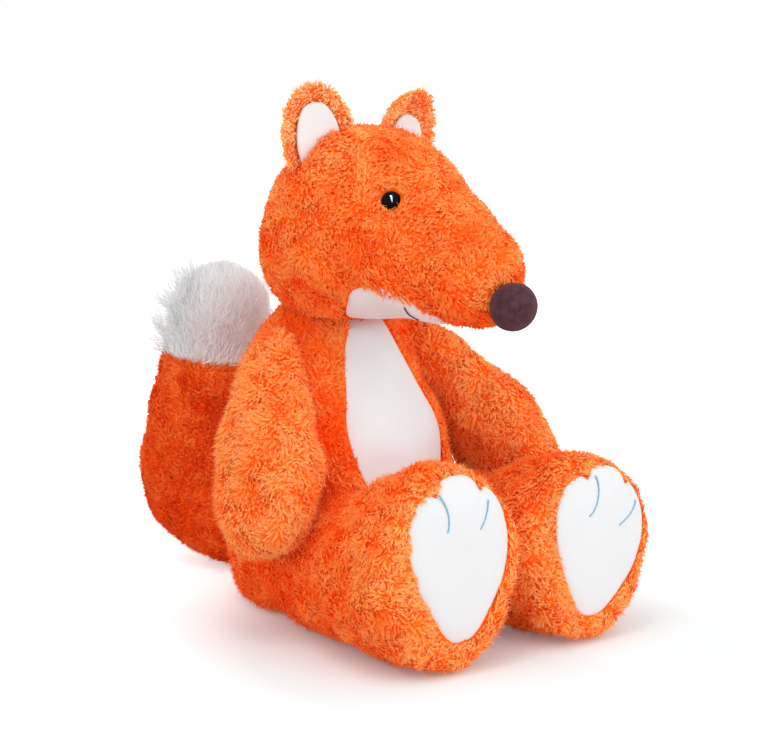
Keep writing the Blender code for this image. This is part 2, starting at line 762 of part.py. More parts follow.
def make_mouth(side_name, side, frame, chin):
    """The stitched corner of the mouth, a short bow down one side of the chin panel."""
    points = []
    for step in range(THREAD_STEPS + 1):
        share = step / THREAD_STEPS
        across = side * (MOUTH_OUT + (MOUTH_IN - MOUTH_OUT) * share)
        station = -MOUTH_STATION + MOUTH_SLANT * share + MOUTH_BOW * math.sin(share * math.pi)
        place, normal = surface_point(chin, (across, station, -HEAD_HALF_HEIGHT), (0, 0, 1))
        points.append(place + normal * (THREAD_RADIUS + SEAM_GAP))
    thread(f"mouth_stitch_{side_name}", points, PARTS, frame)


def arm_rings(side):
    """An arm's rings, hanging from the top of its shoulder seam."""
    return [
        (
            Vector((side * out * ARM_OUT, 0, -down * ARM_LENGTH)),
            Vector((side * thick * ARM_HALF_THICKNESS, 0, 0)),
            Vector((0, wide * ARM_HALF_WIDTH, 0)),
        )
        for down, wide, thick, out in ARM_RING_SHARES
    ]


def make_arm(side_name, side, body_grown):
    """One arm: its cover, open at the shoulder, and its filling."""
    place = Vector((side * SHOULDER_OUT, SHOULDER_BACK, SHOULDER_HEIGHT))
    slant = ARM_LEFT_SLANT_DEG if side > 0 else ARM_RIGHT_SLANT_DEG
    turn = (-slant, -side * ARM_FLARE_DEG, 0)
    frame = joint_frame(f"arm_{side_name}_joint", place, turn)
    mesh = ring_cage(f"arm_{side_name}_cage", arm_rings(side), LIMB_SEGMENTS)
    inside = as_cutter(form(f"arm_{side_name}_inside", mesh, CUTTERS, frame, -CLOTH))
    cover = form(f"arm_{side_name}_cover", mesh, PARTS, frame)
    boolean(cover, inside)
    boolean(cover, body_grown)
    filling = form(f"arm_{side_name}_filling", mesh.copy(), PARTS, frame, -CLOTH - FILLING_GAP)
    boolean(filling, body_grown)
    finish(cover, "orange_fur")
    finish(filling, "filling")


def leg_rings(side_name, side):
    """A leg's rings, lying forward on the floor, and its upright foot."""
    rings = []
    foot_height = FOOT_HALF_HEIGHT[side_name]
    for along, wide, tall, middle in LEG_RING_SHARES:
        rings.append((along, wide * LEG_HALF_WIDTH, tall * LEG_HALF_HEIGHT, middle * LEG_HALF_HEIGHT))
    for along, wide, tall in FOOT_RING_SHARES:
        rings.append((along, wide * FOOT_HALF_WIDTH, tall * foot_height, foot_height))
    return [
        (
            Vector((0, -along * LEG_LENGTH, middle - FLAT_CUT)),
            Vector((side * half_width, 0, 0)),
            Vector((0, 0, half_height)),
        )
        for along, half_width, half_height, middle in rings
    ]


def make_leg(side_name, side, body_grown):
    """One leg: its cover, open at the hip, its sole panel, its filling and two stitched toe lines."""
    place = Vector((side * HIP_OUT, HIP_FRONT, 0))
    frame = joint_frame(f"leg_{side_name}_joint", place, (0, 0, side * LEG_SPLAY_DEG))
    mesh = ring_cage(f"leg_{side_name}_cage", leg_rings(side_name, side), LIMB_SEGMENTS)
    sole_middle = FOOT_HALF_HEIGHT[side_name] + SOLE_RISE[side_name]
    sole_height = SOLE_HEIGHT_SHARE * FOOT_HALF_HEIGHT[side_name]
    sole_width, across_foot = SOLE_HALF_WIDTH[side_name], SOLE_ACROSS[side_name]
    roll = SOLE_LEFT_ROLL_DEG if side > 0 else 0.0
    outline = both_sides(SOLE_OUTLINE_SHARES, sole_width, sole_middle, sole_middle + sole_height)
    outline = rolled(outline, roll, sole_middle, across_foot)
    face_front = Euler((math.pi / 2, 0, 0))
    depth = SOLE_DEPTH * 2
    middle = Vector((0, -LEG_LENGTH, 0))
    wide_name, narrow_name = f"sole_window_{side_name}", f"sole_outline_{side_name}"
    narrow = shrunk(outline, SEAM_GAP)
    window = (
        outline_prism(wide_name, outline, depth, CUTTERS, frame, face_front, middle),
        outline_prism(narrow_name, narrow, depth, CUTTERS, frame, face_front, middle),
    )
    names = (f"leg_{side_name}_cover", f"sole_{side_name}")
    reach = LEG_LENGTH + OVERRUN
    below = box(f"below_leg_{side_name}", (-reach, -reach, -OVERRUN), (reach, reach, 0), CUTTERS, frame)
    cover, sole = cover_with_window(names, mesh, frame, window, (body_grown, below))
    filling = form(f"leg_{side_name}_filling", mesh.copy(), PARTS, frame, -CLOTH - FILLING_GAP)
    boolean(filling, body_grown)
    for number, shares in enumerate(TOE_LINE_SHARES[side_name], 1):
        places = [(out * sole_width, sole_middle + up * sole_height) for out, up in shares]
        places = rolled(places, roll, sole_middle, across_foot)
        make_toe_line(f"toe_stitch_{side_name}_{number}", places, frame, sole)
    finish(cover, "orange_fur")
    finish(sole, "white_plush")
    finish(filling, "filling")


def make_toe_line(name, places, frame, sole):
    """A bowed line of thread down the front of the sole, on a cubic through its four places."""
    cubic = np.polyfit(np.linspace(0, 1, len(places)), places, len(places) - 1)
    points = []
    for step in range(THREAD_STEPS + 1):
        across, up = (np.polyval(cubic[:, axis], step / THREAD_STEPS) for axis in (0, 1))
        place, normal = surface_point(sole, (across, -LEG_LENGTH - OVERRUN, up), (0, 1, 0))
        points.append(place + normal * (THREAD_RADIUS + SEAM_GAP))
    thread(name, points, PARTS, frame)


def tail_rings():
    """The tail's rings: a round root, then a fat brush that turns up behind the body."""
    rings = []
    for back, rise, wide, tilt in TAIL_RING_SHARES:
        angle = math.radians(tilt)
        half = wide * TAIL_HALF_WIDTH
        rings.append(
            (
                Vector((0, back * TAIL_BACK, rise * TAIL_RISE)),
                Vector((half, 0, 0)),
                Vector((0, -math.sin(angle), math.cos(angle))) * half,
            )
        )
    back, rise = TAIL_TIP_SHARES
    tip = (Vector((0, back * TAIL_BACK, rise * TAIL_RISE)), Vector(), Vector())
    root = (Vector((0, -TAIL_ROOT_RADIUS, 0)), Vector(), Vector())
    return [root, *rings, tip]


def make_tail(body):
    """The tail: its orange cover, its white long-haired tip and its filling.

    The round root touches the body and is centred on the joint, so that the tail can swing on it.
    """
    frame = joint_frame("tail_joint", (0, 0, TAIL_ROOT_HEIGHT))
    mesh = ring_cage("tail_cage", tail_rings(), LIMB_SEGMENTS)
    bare = as_cutter(form("tail_form", mesh, CUTTERS, frame))
    touch, _ = surface_point(body, (0, BODY_HALF_DEPTH * 2, TAIL_ROOT_HEIGHT), (0, -1, 0))
    reach, _ = surface_point(bare, (0, -BODY_HALF_DEPTH, 0), (0, 1, 0))
    frame.location.y = touch.y - reach.y + SEAM_GAP
    split = TAIL_SPLIT_SHARE * TAIL_RISE
    reach = TAIL_RISE + OVERRUN
    above = box("above_tail_split", (-reach, -reach, split), (reach, reach, reach), CUTTERS, frame)
    tip_foot = split + SEAM_GAP
    below = box("below_tail_split", (-reach, -reach, -reach), (reach, reach, tip_foot), CUTTERS, frame)
    inside = as_cutter(form("tail_inside", mesh, CUTTERS, frame, -CLOTH))
    cover = form("tail_cover", mesh, PARTS, frame)
    tip = form("tail_tip", mesh.copy(), PARTS, frame)
    boolean(cover, inside)
    boolean(cover, above)
    boolean(tip, inside)
    boolean(tip, below)
    filling = form("tail_filling", mesh.copy(), PARTS, frame, -CLOTH - FILLING_GAP)
    finish(cover, "orange_fur")
    finish(tip, "white_long_fur")
    finish(filling, "filling")


clear_scene()
PARTS = collection("plush_fox")
CUTTERS = collection("cutters")
BODY, BODY_GROWN = make_body()
NECK = joint_frame("neck_joint", (0, NECK_BACK, BODY_HEIGHT))
HEAD, HEAD_GROWN, HEAD_COVER, CHIN, HEAD_FILLING = make_head(NECK)
make_nose(NECK, HEAD_GROWN)
for SIDE_NAME, SIDE in (("left", 1), ("right", -1)):
    make_eye(SIDE_NAME, SIDE, NECK, HEAD, HEAD_GROWN, HEAD_COVER, HEAD_FILLING)
    make_ear(SIDE_NAME, SIDE, NECK, HEAD_GROWN)
    make_mouth(SIDE_NAME, SIDE, NECK, CHIN)
    make_arm(SIDE_NAME, SIDE, BODY_GROWN)
    make_leg(SIDE_NAME, SIDE, BODY_GROWN)
make_tail(BODY)
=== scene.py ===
"""The looks of a sitting plush fox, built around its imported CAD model.

Every stuffed part is a closed form through rings, the same rings as the CAD solids have. A skin of
cloth lies a little inside the form, and a pile of thousands of small curved locks of fur grows out of
it. The smooth white panels are shells of their own, let into the forms. Lengths are in metres.
"""

import math

import bpy
import numpy as np
from mathutils import Euler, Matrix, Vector


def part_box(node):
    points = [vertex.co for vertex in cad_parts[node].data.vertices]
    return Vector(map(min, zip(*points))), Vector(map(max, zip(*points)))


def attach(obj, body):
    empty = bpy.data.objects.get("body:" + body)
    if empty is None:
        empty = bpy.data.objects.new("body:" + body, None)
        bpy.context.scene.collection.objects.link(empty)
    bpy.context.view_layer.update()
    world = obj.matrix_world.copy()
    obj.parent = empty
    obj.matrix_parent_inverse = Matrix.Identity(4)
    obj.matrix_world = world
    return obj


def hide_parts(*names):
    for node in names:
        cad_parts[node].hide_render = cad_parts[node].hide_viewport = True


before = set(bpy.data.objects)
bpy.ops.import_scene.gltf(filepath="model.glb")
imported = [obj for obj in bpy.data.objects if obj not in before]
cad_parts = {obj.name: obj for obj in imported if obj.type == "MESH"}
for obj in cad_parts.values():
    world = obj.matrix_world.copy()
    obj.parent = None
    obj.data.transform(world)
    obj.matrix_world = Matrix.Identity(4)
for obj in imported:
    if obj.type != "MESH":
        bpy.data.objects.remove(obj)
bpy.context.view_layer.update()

MM = 0.001

# Body
BODY_HEIGHT = 158.0 * MM
BODY_HALF_WIDTH = 57.0 * MM
BODY_HALF_DEPTH = 59.0 * MM
BODY_RING_SHARES = (
    (-0.020, 0.00, 0.00, 0.00),
    (-0.015, 0.82, 0.82, 0.00),
    (0.080, 1.00, 1.00, -0.08),
    (0.300, 1.03, 1.03, -0.16),
    (0.560, 0.99, 0.97, -0.18),
    (0.800, 0.83, 0.81, 0.05),
    (1.000, 0.57, 0.54, -0.02),
    (1.100, 0.00, 0.00, -0.02),
)
BIB_HALF_WIDTH = 32.0 * MM
BIB_BOTTOM = 48.0 * MM
BIB_TOP = 156.0 * MM
BIB_OUTLINE_SHARES = (
    (0.00, 0.00),
    (0.40, 0.05),
    (0.74, 0.20),
    (0.92, 0.42),
    (0.76, 0.67),
    (0.56, 0.85),
    (0.34, 1.00),
)

# Head, in the frame of its neck joint
NECK = (0.0, -8.0 * MM, BODY_HEIGHT)
HEAD_BACK = 42.0 * MM
HEAD_LENGTH = 172.0 * MM
HEAD_HALF_WIDTH = 50.0 * MM
HEAD_HALF_HEIGHT = 52.0 * MM
HEAD_MIDDLE = 44.0 * MM
HEAD_RING_SHARES = (
    (0.000, 0.00, 0.00, -0.33),
    (0.050, 0.52, 0.54, -0.33),
    (0.200, 0.96, 0.98, -0.11),
    (0.400, 1.03, 1.05, 0.03),
    (0.600, 0.79, 0.79, -0.03),
    (0.780, 0.58, 0.61, -0.25),
    (0.930, 0.40, 0.44, -0.34),
    (0.995, 0.27, 0.30, -0.30),
    (1.000, 0.00, 0.00, -0.30),
)
CHIN_HALF_WIDTH = 36.0 * MM
CHIN_START = 30.0 * MM
CHIN_END = 97.0 * MM
CHIN_OUTLINE_SHARES = (
    (0.00, 0.00),
    (0.62, 0.06),
    (0.82, 0.17),
    (0.94, 0.30),
    (0.93, 0.44),
    (0.90, 0.59),
    (0.82, 0.72),
    (0.66, 0.84),
    (0.49, 0.92),
    (0.30, 0.98),
    (0.00, 1.00),
)
MOUTH_STATION = 82.0 * MM
MOUTH_SLANT = 3.0 * MM
MOUTH_BOW = 1.5 * MM
MOUTH_OUT = 24.5 * MM
MOUTH_IN = 13.0 * MM
MOUTH_THREAD_RADIUS = 0.37 * MM
EYE_RADIUS = 5.0 * MM
EYE_HEIGHT = 3.6 * MM
EYE_SINK = 1.8 * MM
NOSE_HALF_SIZES = (12.3 * MM, 11.0 * MM, 11.7 * MM)

# Ears, in the head's frame
EAR_HALF_WIDTH = 20.0 * MM
EAR_HEIGHT = {"left": 31.0 * MM, "right": 35.5 * MM}
EAR_HALF_THICKNESS = 4.0 * MM
EAR_CURL = {"left": 14.0 * MM, "right": 7.0 * MM}
EAR_CUP = 9.0 * MM
EAR_OUT = 26.0 * MM
EAR_STATION = 53.0 * MM
EAR_FOOT = 84.0 * MM
EAR_TURN_DEG = (4.0, 12.0, 12.0)
EAR_RING_SHARES = (
    (-0.30, 0.00, 0.00, 0.00),
    (-0.20, 0.90, 0.95, 0.00),
    (0.15, 1.05, 1.00, 0.00),
    (0.45, 0.98, 1.00, 0.08),
    (0.72, 0.76, 0.95, 0.34),
    (0.93, 0.44, 0.80, 0.80),
    (1.00, 0.00, 0.00, 1.00),
)
LINING_HALF_WIDTH = 12.5 * MM
LINING_FOOT = -4.0 * MM
LINING_TOP = {"left": 17.0 * MM, "right": 25.0 * MM}
LINING_OUTLINE_SHARES = (
    (0.90, 0.00),
    (1.00, 0.30),
    (0.88, 0.62),
    (0.52, 0.90),
    (0.00, 1.00),
)

# Arms
SHOULDER = (33.0 * MM, -2.0 * MM, 147.0 * MM)
ARM_FLARE_DEG = 19.0
ARM_SLANT_DEG = {"left": 37.0, "right": 28.0}
ARM_LENGTH = 126.0 * MM
ARM_HALF_WIDTH = 33.5 * MM
ARM_HALF_THICKNESS = 20.5 * MM
ARM_OUT = 17.0 * MM
ARM_RING_SHARES = (
    (0.000, 0.00, 0.00, 0.30),
    (0.040, 0.36, 0.36, 0.40),
    (0.240, 0.66, 0.70, 0.70),
    (0.520, 0.90, 0.98, 1.00),
    (0.800, 1.05, 1.05, 1.00),
    (0.970, 0.62, 0.60, 1.00),
    (1.000, 0.00, 0.00, 1.00),
)

# Legs
HIP = (41.0 * MM, -12.0 * MM, 0.0)
LEG_LENGTH = 146.0 * MM
LEG_HALF_WIDTH = 31.0 * MM
LEG_HALF_HEIGHT = 32.0 * MM
FOOT_HALF_WIDTH = 42.0 * MM
FOOT_HALF_HEIGHT = {1: 47.0 * MM, -1: 50.0 * MM}
LEG_SPLAY_DEG = 2.0
LEG_RING_SHARES = (
    (-0.04, 0.00, 0.00, 1.00),
    (0.00, 0.66, 0.70, 1.00),
    (0.22, 0.98, 1.06, 1.06),
    (0.48, 1.02, 1.13, 1.13),
)
FOOT_RING_SHARES = (
    (0.74, 0.96, 0.96),
    (0.95, 1.04, 1.03),
    (1.00, 0.68, 0.70),
    (1.00, 0.00, 0.00),
)
SOLE_HALF_WIDTH = {1: 32.0 * MM, -1: 30.5 * MM}
SOLE_ACROSS = {1: 1.5 * MM, -1: 2.0 * MM}
SOLE_HEIGHT_SHARE = 0.8
SOLE_RISE = {1: 5.0 * MM, -1: 6.5 * MM}
SOLE_OUTLINE_SHARES = (
    (0.00, -1.00),
    (0.28, -0.93),
    (0.57, -0.64),
    (0.83, -0.31),
    (0.97, 0.04),
    (1.00, 0.28),
    (0.95, 0.52),
    (0.79, 0.71),
    (0.57, 0.82),
    (0.44, 0.79),
    (0.37, 0.90),
    (0.22, 0.98),
    (0.00, 1.00),
)
SOLE_LEFT_ROLL_DEG = 12.0
TOE_LINE_SHARES = {
    1: (
        ((-0.33, 0.86), (-0.27, 0.69), (-0.30, 0.48), (-0.43, 0.32)),
        ((0.67, 0.59), (0.57, 0.45), (0.42, 0.33), (0.28, 0.24)),
    ),
    -1: (
        ((-0.43, 0.83), (-0.34, 0.68), (-0.31, 0.53), (-0.35, 0.38)),
        ((0.54, 0.68), (0.47, 0.55), (0.38, 0.43), (0.30, 0.36)),
    ),
}
TOE_LIFT = 0.7 * MM
TOE_THREAD_RADIUS = 0.4 * MM

# Tail
TAIL_ROOT_RADIUS = 14.0 * MM
TAIL_ROOT = (0.0, 60.687 * MM, 20.5 * MM)
TAIL_HALF_WIDTH = 35.0 * MM
TAIL_BACK = 62.0 * MM
TAIL_RISE = 149.0 * MM
TAIL_SPLIT_SHARE = 0.655
TAIL_RING_SHARES = (
    (0.02, 0.00, 0.42, 0.0),
    (0.52, 0.01, 0.74, 12.0),
    (0.92, 0.10, 1.02, 55.0),
    (1.00, 0.27, 1.03, 84.0),
    (0.90, 0.48, 0.88, 97.0),
    (0.76, 0.68, 0.75, 98.0),
    (0.64, 0.87, 0.74, 97.0),
    (0.61, 0.98, 0.40, 94.0),
)
TAIL_TIP_SHARES = (0.60, 1.00)

# Cloth and seams
BODY_FILL, HEAD_FILL, ARM_FILL, LEG_FILL, TAIL_FILL, EAR_FILL = 0.8, 0.85, 0.7, 0.8, 0.75, 0.4
SKIN_INSET = 1.3 * MM
WAVE_COUNT = 14
LUMP_HEIGHT = 0.9 * MM
LUMP_SIZE = 34.0 * MM
CUP_LUMP_SHARE = 0.35
GRAIN_HEIGHT = 0.35 * MM
GRAIN_SIZE = 6.0 * MM
PANEL_THICKNESS = 2.2 * MM
PANEL_EDGE_DROP = 1.2 * MM
PANEL_MIDDLE = -math.pi / 2
PANEL_LIFT = 0.2 * MM
LINING_LIFT = 0.3 * MM
SOLE_LIFT = 0.6 * MM
FLOOR_SOFTNESS = 1.5 * MM
SIDES = (("left", 1), ("right", -1))

# Fur: how a lock stands, leans and curls, where its rings are, and the painted light and shade of its part
# of the toy
PILE = {
    "inset": 1.6 * MM,
    "rise": 2.4 * MM,
    "drift": 3.8 * MM,
    "curl": 1.3 * MM,
    "half_width": 0.9 * MM,
    "flatness": 0.5,
    "swirl_deg": 70.0,
    "swirl_size": 17.0 * MM,
    "stray_deg": 36.0,
    "clump": 0.7 * MM,
    "clump_size": 7.0 * MM,
    "steps": (0.0, 0.55, 1.0),
    "widths": (0.8, 1.0),
    "shades": (0.0, 0.75),
    "painted_shading": lambda points: 0.0,
}
# Thin wisps, their shades in the paler half: a painted rim light where they stand out at the silhouettes
WISP = {
    "half_width": 0.38 * MM,
    "stray_deg": 60.0,
    "steps": (0.0, 1.0),
    "widths": (1.0,),
    "shades": (0.55, 1.0),
}
WISP_RISE_SHARE = 1.75
EAR_PILE = dict(PILE, rise=2.2 * MM, drift=2.6 * MM, inset=1.4 * MM, half_width=0.62 * MM)
TIP_PILE = dict(
    PILE,
    steps=(0.0, 0.5, 1.0),
    widths=(0.9, 0.8),
    rise=5.0 * MM,
    drift=9.0 * MM,
    curl=0.6 * MM,
    half_width=0.24 * MM,
    swirl_deg=10.0,
    stray_deg=20.0,
    clump=0.5 * MM,
    clump_size=9.0 * MM,
)
BLOWN_PILE = dict(
    TIP_PILE, rise=17.0 * MM, drift=12.0 * MM, swirl_deg=30.0, clump=4.5 * MM, clump_size=14.0 * MM
)
BLOWN_SIDE = (-0.72, 0.58, 0.38)
BLOWN_FROM = 15.0 * MM
CURL_PATCH_SIZE = 9.0 * MM
PATCH_SIZES = (34.0 * MM, 12.0 * MM)
PATCH_DEPTH = 0.13
GROUND_STEP = 0.15 * MM
ROOT_MARGIN, BEND_MARGIN, TIP_MARGIN = -0.2 * MM, 0.3 * MM, 0.8 * MM
PLASTIC_STEPS = (0.7548776662, 0.5698402910)
LOCK_DENSITY = 0.45e6
WISP_DENSITY = 0.58e6
TIP_DENSITY = 1.5e6
BLOWN_DENSITY = 0.5e6
# Painted shade and light by part: the body's fur a little deeper all over, the arms' fur paler where they
# face the lamps
BODY_PAINTED_SHADE = -0.14
ARM_PAINTED_LIGHT = 0.35


def wobble(points, size, seed):
    """A smooth random field with a spread of about one.

    It is sqrt(2 / n) times the sum of n sine waves in random directions, of about that wavelength.
    """
    draw = np.random.default_rng(seed)
    waves = draw.normal(size=(WAVE_COUNT, 3))
    waves /= np.linalg.norm(waves, axis=1)[:, None]
    waves *= 2 * math.pi / size * draw.uniform(0.7, 1.4, size=(WAVE_COUNT, 1))
    phases = draw.uniform(0, 2 * math.pi, size=WAVE_COUNT)
    return np.sin(points @ waves.T + phases).sum(axis=1) * math.sqrt(2 / WAVE_COUNT)


def turned_by(degrees):
    """The rotation matrix of three Euler angles in degrees."""
    return np.array(Euler([math.radians(angle) for angle in degrees]).to_matrix())


def grid(first, second):
    """Every pair of two rows' values, the first row's varying slowest."""
    return (part.ravel() for part in np.meshgrid(first, second, indexing="ij"))


def unit(vectors):
    """Each row scaled to length one."""
    return vectors / np.maximum(np.linalg.norm(vectors, axis=-1, keepdims=True), 1e-12)


def spline(rows, place):
    """A uniform cubic B-spline with the rows as its control points, read at places counted in rows.

    The weights of four neighbouring rows at a fraction f are (1-f)^3, 3f^3-6f^2+4, 1+3f+3f^2-3f^3
    and f^3, each over six.
    """
    first = np.clip(np.floor(place).astype(int), 0, len(rows) - 4)
    f = (place - first)[:, None]
    return (
        (1 - f) ** 3 * rows[first]
        + (3 * f**3 - 6 * f**2 + 4) * rows[first + 1]
        + (1 + 3 * f + 3 * f**2 - 3 * f**3) * rows[first + 2]
        + f**3 * rows[first + 3]
    ) / 6


def settled(heights, level):
    """Heights z bent softly to a level: level + s ln(1 + e^((z - level) / s)), s the softness."""
    return level + FLOOR_SOFTNESS * np.logaddexp(0, (heights - level) / FLOOR_SOFTNESS)


def ring_form(rings, place, turn=(0, 0, 0), level=None, cup=None):
    """A closed form through rings of (centre, half-axis, half-axis), and the number of its last ring.

    A point at angle u and place v is centre(v) + across(v) cos u + along(v) sin u, with the three
    run along a B-spline. Past an end the rings are mirrored, which closes the form there. A few
    soft lumps move it in and out. Then it may be cupped, is turned and placed, and may settle on a
    level below.
    """
    centres, across, along = (np.array(part, float) for part in zip(*rings))
    last = len(centres) - 1
    centres = np.vstack([centres[1], centres, centres[-2]])
    across = np.vstack([-across[1], across, -across[-2]])
    along = np.vstack([-along[1], along, -along[-2]])
    rotation = turned_by(turn)
    lump_share = CUP_LUMP_SHARE if cup else 1.0

    def surface(u, v):
        swing = spline(across, v) * np.cos(u)[:, None] + spline(along, v) * np.sin(u)[:, None]
        points = spline(centres, v) + swing
        lumps = wobble(points, LUMP_SIZE, last) * LUMP_HEIGHT * lump_share
        points = points + unit(swing) * lumps[:, None]
        if cup:
            depth, half = cup
            points[:, 1] -= depth * (points[:, 0] / half) ** 2
        points = points @ rotation.T + np.array(place)
        if level is not None:
            points[:, 2] = settled(points[:, 2], level)
        return points

    return surface, last


def body_form():
    """The body, from the seat to above the neck."""
    rings = [
        (
            (0, shift * BODY_HALF_DEPTH, up * BODY_HEIGHT),
            (wide * BODY_HALF_WIDTH, 0, 0),
            (0, deep * BODY_HALF_DEPTH, 0),
        )
        for up, wide, deep, shift in BODY_RING_SHARES
    ]
    return ring_form(rings, (0, 0, 0), level=0.0)


def head_form():
    """The head, from the back of the skull to the tip of the snout."""
    rings = [
        (
            (0, HEAD_BACK - station * HEAD_LENGTH, HEAD_MIDDLE + rise * HEAD_HALF_HEIGHT),
            (wide * HEAD_HALF_WIDTH, 0, 0),
            (0, 0, tall * HEAD_HALF_HEIGHT),
        )
        for station, wide, tall, rise in HEAD_RING_SHARES
    ]
    return ring_form(rings, NECK, level=NECK[2] - FLOOR_SOFTNESS / 2)


def ear_form(side_name, side):
    """An ear, a flat cup with its tip curled forward."""
    rings = [
        (
            (0, -curl * EAR_CURL[side_name], up * EAR_HEIGHT[side_name]),
            (wide * EAR_HALF_WIDTH, 0, 0),
            (0, thick * EAR_HALF_THICKNESS, 0),
        )
        for up, wide, thick, curl in EAR_RING_SHARES
    ]
    place = np.array(NECK) + (side * EAR_OUT, HEAD_BACK - EAR_STATION, EAR_FOOT)
    lean, out, face = EAR_TURN_DEG
    return ring_form(rings, place, (lean, side * out, side * face), cup=(EAR_CUP, EAR_HALF_WIDTH))


def arm_form(side_name, side):
    """An arm, hanging from the top of its shoulder seam."""
    rings = [
        (
            (side * out * ARM_OUT, 0, -down * ARM_LENGTH),
            (side * thick * ARM_HALF_THICKNESS, 0, 0),
            (0, wide * ARM_HALF_WIDTH, 0),
        )
        for down, wide, thick, out in ARM_RING_SHARES
    ]
    place = (side * SHOULDER[0], SHOULDER[1], SHOULDER[2])
    return ring_form(rings, place, (-ARM_SLANT_DEG[side_name], -side * ARM_FLARE_DEG, 0))


def leg_form(side):
    """A leg, lying forward on the floor, and its upright foot."""
    rows = [
        (along, wide * LEG_HALF_WIDTH, tall * LEG_HALF_HEIGHT, middle * LEG_HALF_HEIGHT)
        for along, wide, tall, middle in LEG_RING_SHARES
    ]
    rows += [
        (along, wide * FOOT_HALF_WIDTH, tall * FOOT_HALF_HEIGHT[side], FOOT_HALF_HEIGHT[side])
        for along, wide, tall in FOOT_RING_SHARES
    ]
    rings = [
        ((0, -along * LEG_LENGTH, middle), (side * half_width, 0, 0), (0, 0, half_height))
        for along, half_width, half_height, middle in rows
    ]
    return ring_form(rings, (side * HIP[0], HIP[1], HIP[2]), (0, 0, side * LEG_SPLAY_DEG), level=0.0)


def tail_form():
    """The tail: a round root, then a fat brush that turns up behind the body."""
    rings = [((0, -TAIL_ROOT_RADIUS, 0), (0, 0, 0), (0, 0, 0))]
    for back, rise, wide, tilt in TAIL_RING_SHARES:
        angle = math.radians(tilt)
        half = wide * TAIL_HALF_WIDTH
        rings.append(
            (
                (0, back * TAIL_BACK, rise * TAIL_RISE),
                (half, 0, 0),
                (0, -math.sin(angle) * half, math.cos(angle) * half),
            )
        )
    back, rise = TAIL_TIP_SHARES
    rings.append(((0, back * TAIL_BACK, rise * TAIL_RISE), (0, 0, 0), (0, 0, 0)))
    return ring_form(rings, TAIL_ROOT)


def surface_frame(surface, u, v):
    """Points of a form, with the unit direction along it and the outward normal, by small steps."""
    step = 1e-3
    points = surface(u, v)
    along = unit(surface(u, v + step) - surface(u, v - step))
    around = surface(u + step, v) - surface(u - step, v)
    normals = unit(np.cross(around, along))
    outward = np.einsum("ij,ij->i", normals, points - points.mean(axis=0)).mean()
    return points, along, normals * (1 if outward > 0 else -1)


def put_mesh(name, vertices, quads, triangles, tone=None, uv=None, smooth=True):
    """An object at the origin from arrays of vertices, quads and triangles."""
    mesh = bpy.data.meshes.new(name)
    corners = np.concatenate([np.ravel(quads), np.ravel(triangles)]).astype(np.int32)
    sizes = np.concatenate([np.full(len(quads), 4), np.full(len(triangles), 3)])
    starts = np.concatenate([[0], np.cumsum(sizes)[:-1]]).astype(np.int32)
    mesh.vertices.add(len(vertices))
    mesh.vertices.foreach_set("co", np.ascontiguousarray(vertices, np.float32).ravel())
    mesh.loops.add(len(corners))
    mesh.loops.foreach_set("vertex_index", corners)
    mesh.polygons.add(len(sizes))
    mesh.polygons.foreach_set("loop_start", starts)
    mesh.update(calc_edges=True)
    mesh.validate()
    if smooth:
        mesh.shade_smooth()
    else:
        mesh.shade_flat()
    if tone is not None:
        layer = mesh.attributes.new("tone", "FLOAT_COLOR", "POINT")
        layer.data.foreach_set("color", np.ascontiguousarray(tone, np.float32).ravel())
    if uv is not None:
        layer = mesh.uv_layers.new(name="pile")
        layer.data.foreach_set("uv", np.ascontiguousarray(uv[corners], np.float32).ravel())
    obj = bpy.data.objects.new(name, mesh)
    bpy.context.scene.collection.objects.link(obj)
    return obj


def dressed(obj, body, slot, material, *nodes):
    """Gives a piece its material and the body it rides on, and hides the nodes it stands for; the slot is
    not used.
    """
    obj.data.materials.append(material)
    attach(obj, body)
    if nodes:
        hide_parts(*nodes)
    return obj


def stuffed(obj, fill, *dress):
    """Dresses a stuffed piece; the fill, how firmly it is filled, is not used."""
    return dressed(obj, *dress)


def tube_faces(rows, columns):
    """Quads of a grid of rows that close on themselves, as indices of its vertices."""
    row, column = np.meshgrid(np.arange(rows - 1), np.arange(columns), indexing="ij")
    near = row * columns + column
    beside = row * columns + (column + 1) % columns
    return np.stack([near, beside, beside + columns, near + columns], axis=-1).reshape(-1, 4)


def fan(centre, ring):
    """Triangles from one vertex to a closed ring of vertices."""
    return np.stack([np.full(len(ring), centre), ring, np.roll(ring, -1)], axis=1)


def facing_out(points, quads, triangles):
    """The same faces, all turned round if the closed surface's signed volume is negative."""
    corners = np.concatenate([quads[:, [0, 1, 2]], quads[:, [0, 2, 3]], triangles])
    a, b, c = (points[corners[:, i]] for i in range(3))
    if np.einsum("ij,ij->i", a, np.cross(b, c)).sum() < 0:
        return quads[:, ::-1], triangles[:, ::-1]
    return quads, triangles


def lathe_mesh(name, rings, first, last, **layers):
    """A closed mesh from an array of rings, with one vertex more to close each end."""
    rows, columns = rings.shape[:2]
    points = np.vstack([rings.reshape(-1, 3), first, last])
    quads = tube_faces(rows, columns)
    start = np.arange(columns)
    ends = np.concatenate(
        [fan(rows * columns, start[::-1]), fan(rows * columns + 1, start + (rows - 1) * columns)]
    )
    quads, ends = facing_out(points, quads, ends)
    return put_mesh(name, points, quads, ends, **layers)


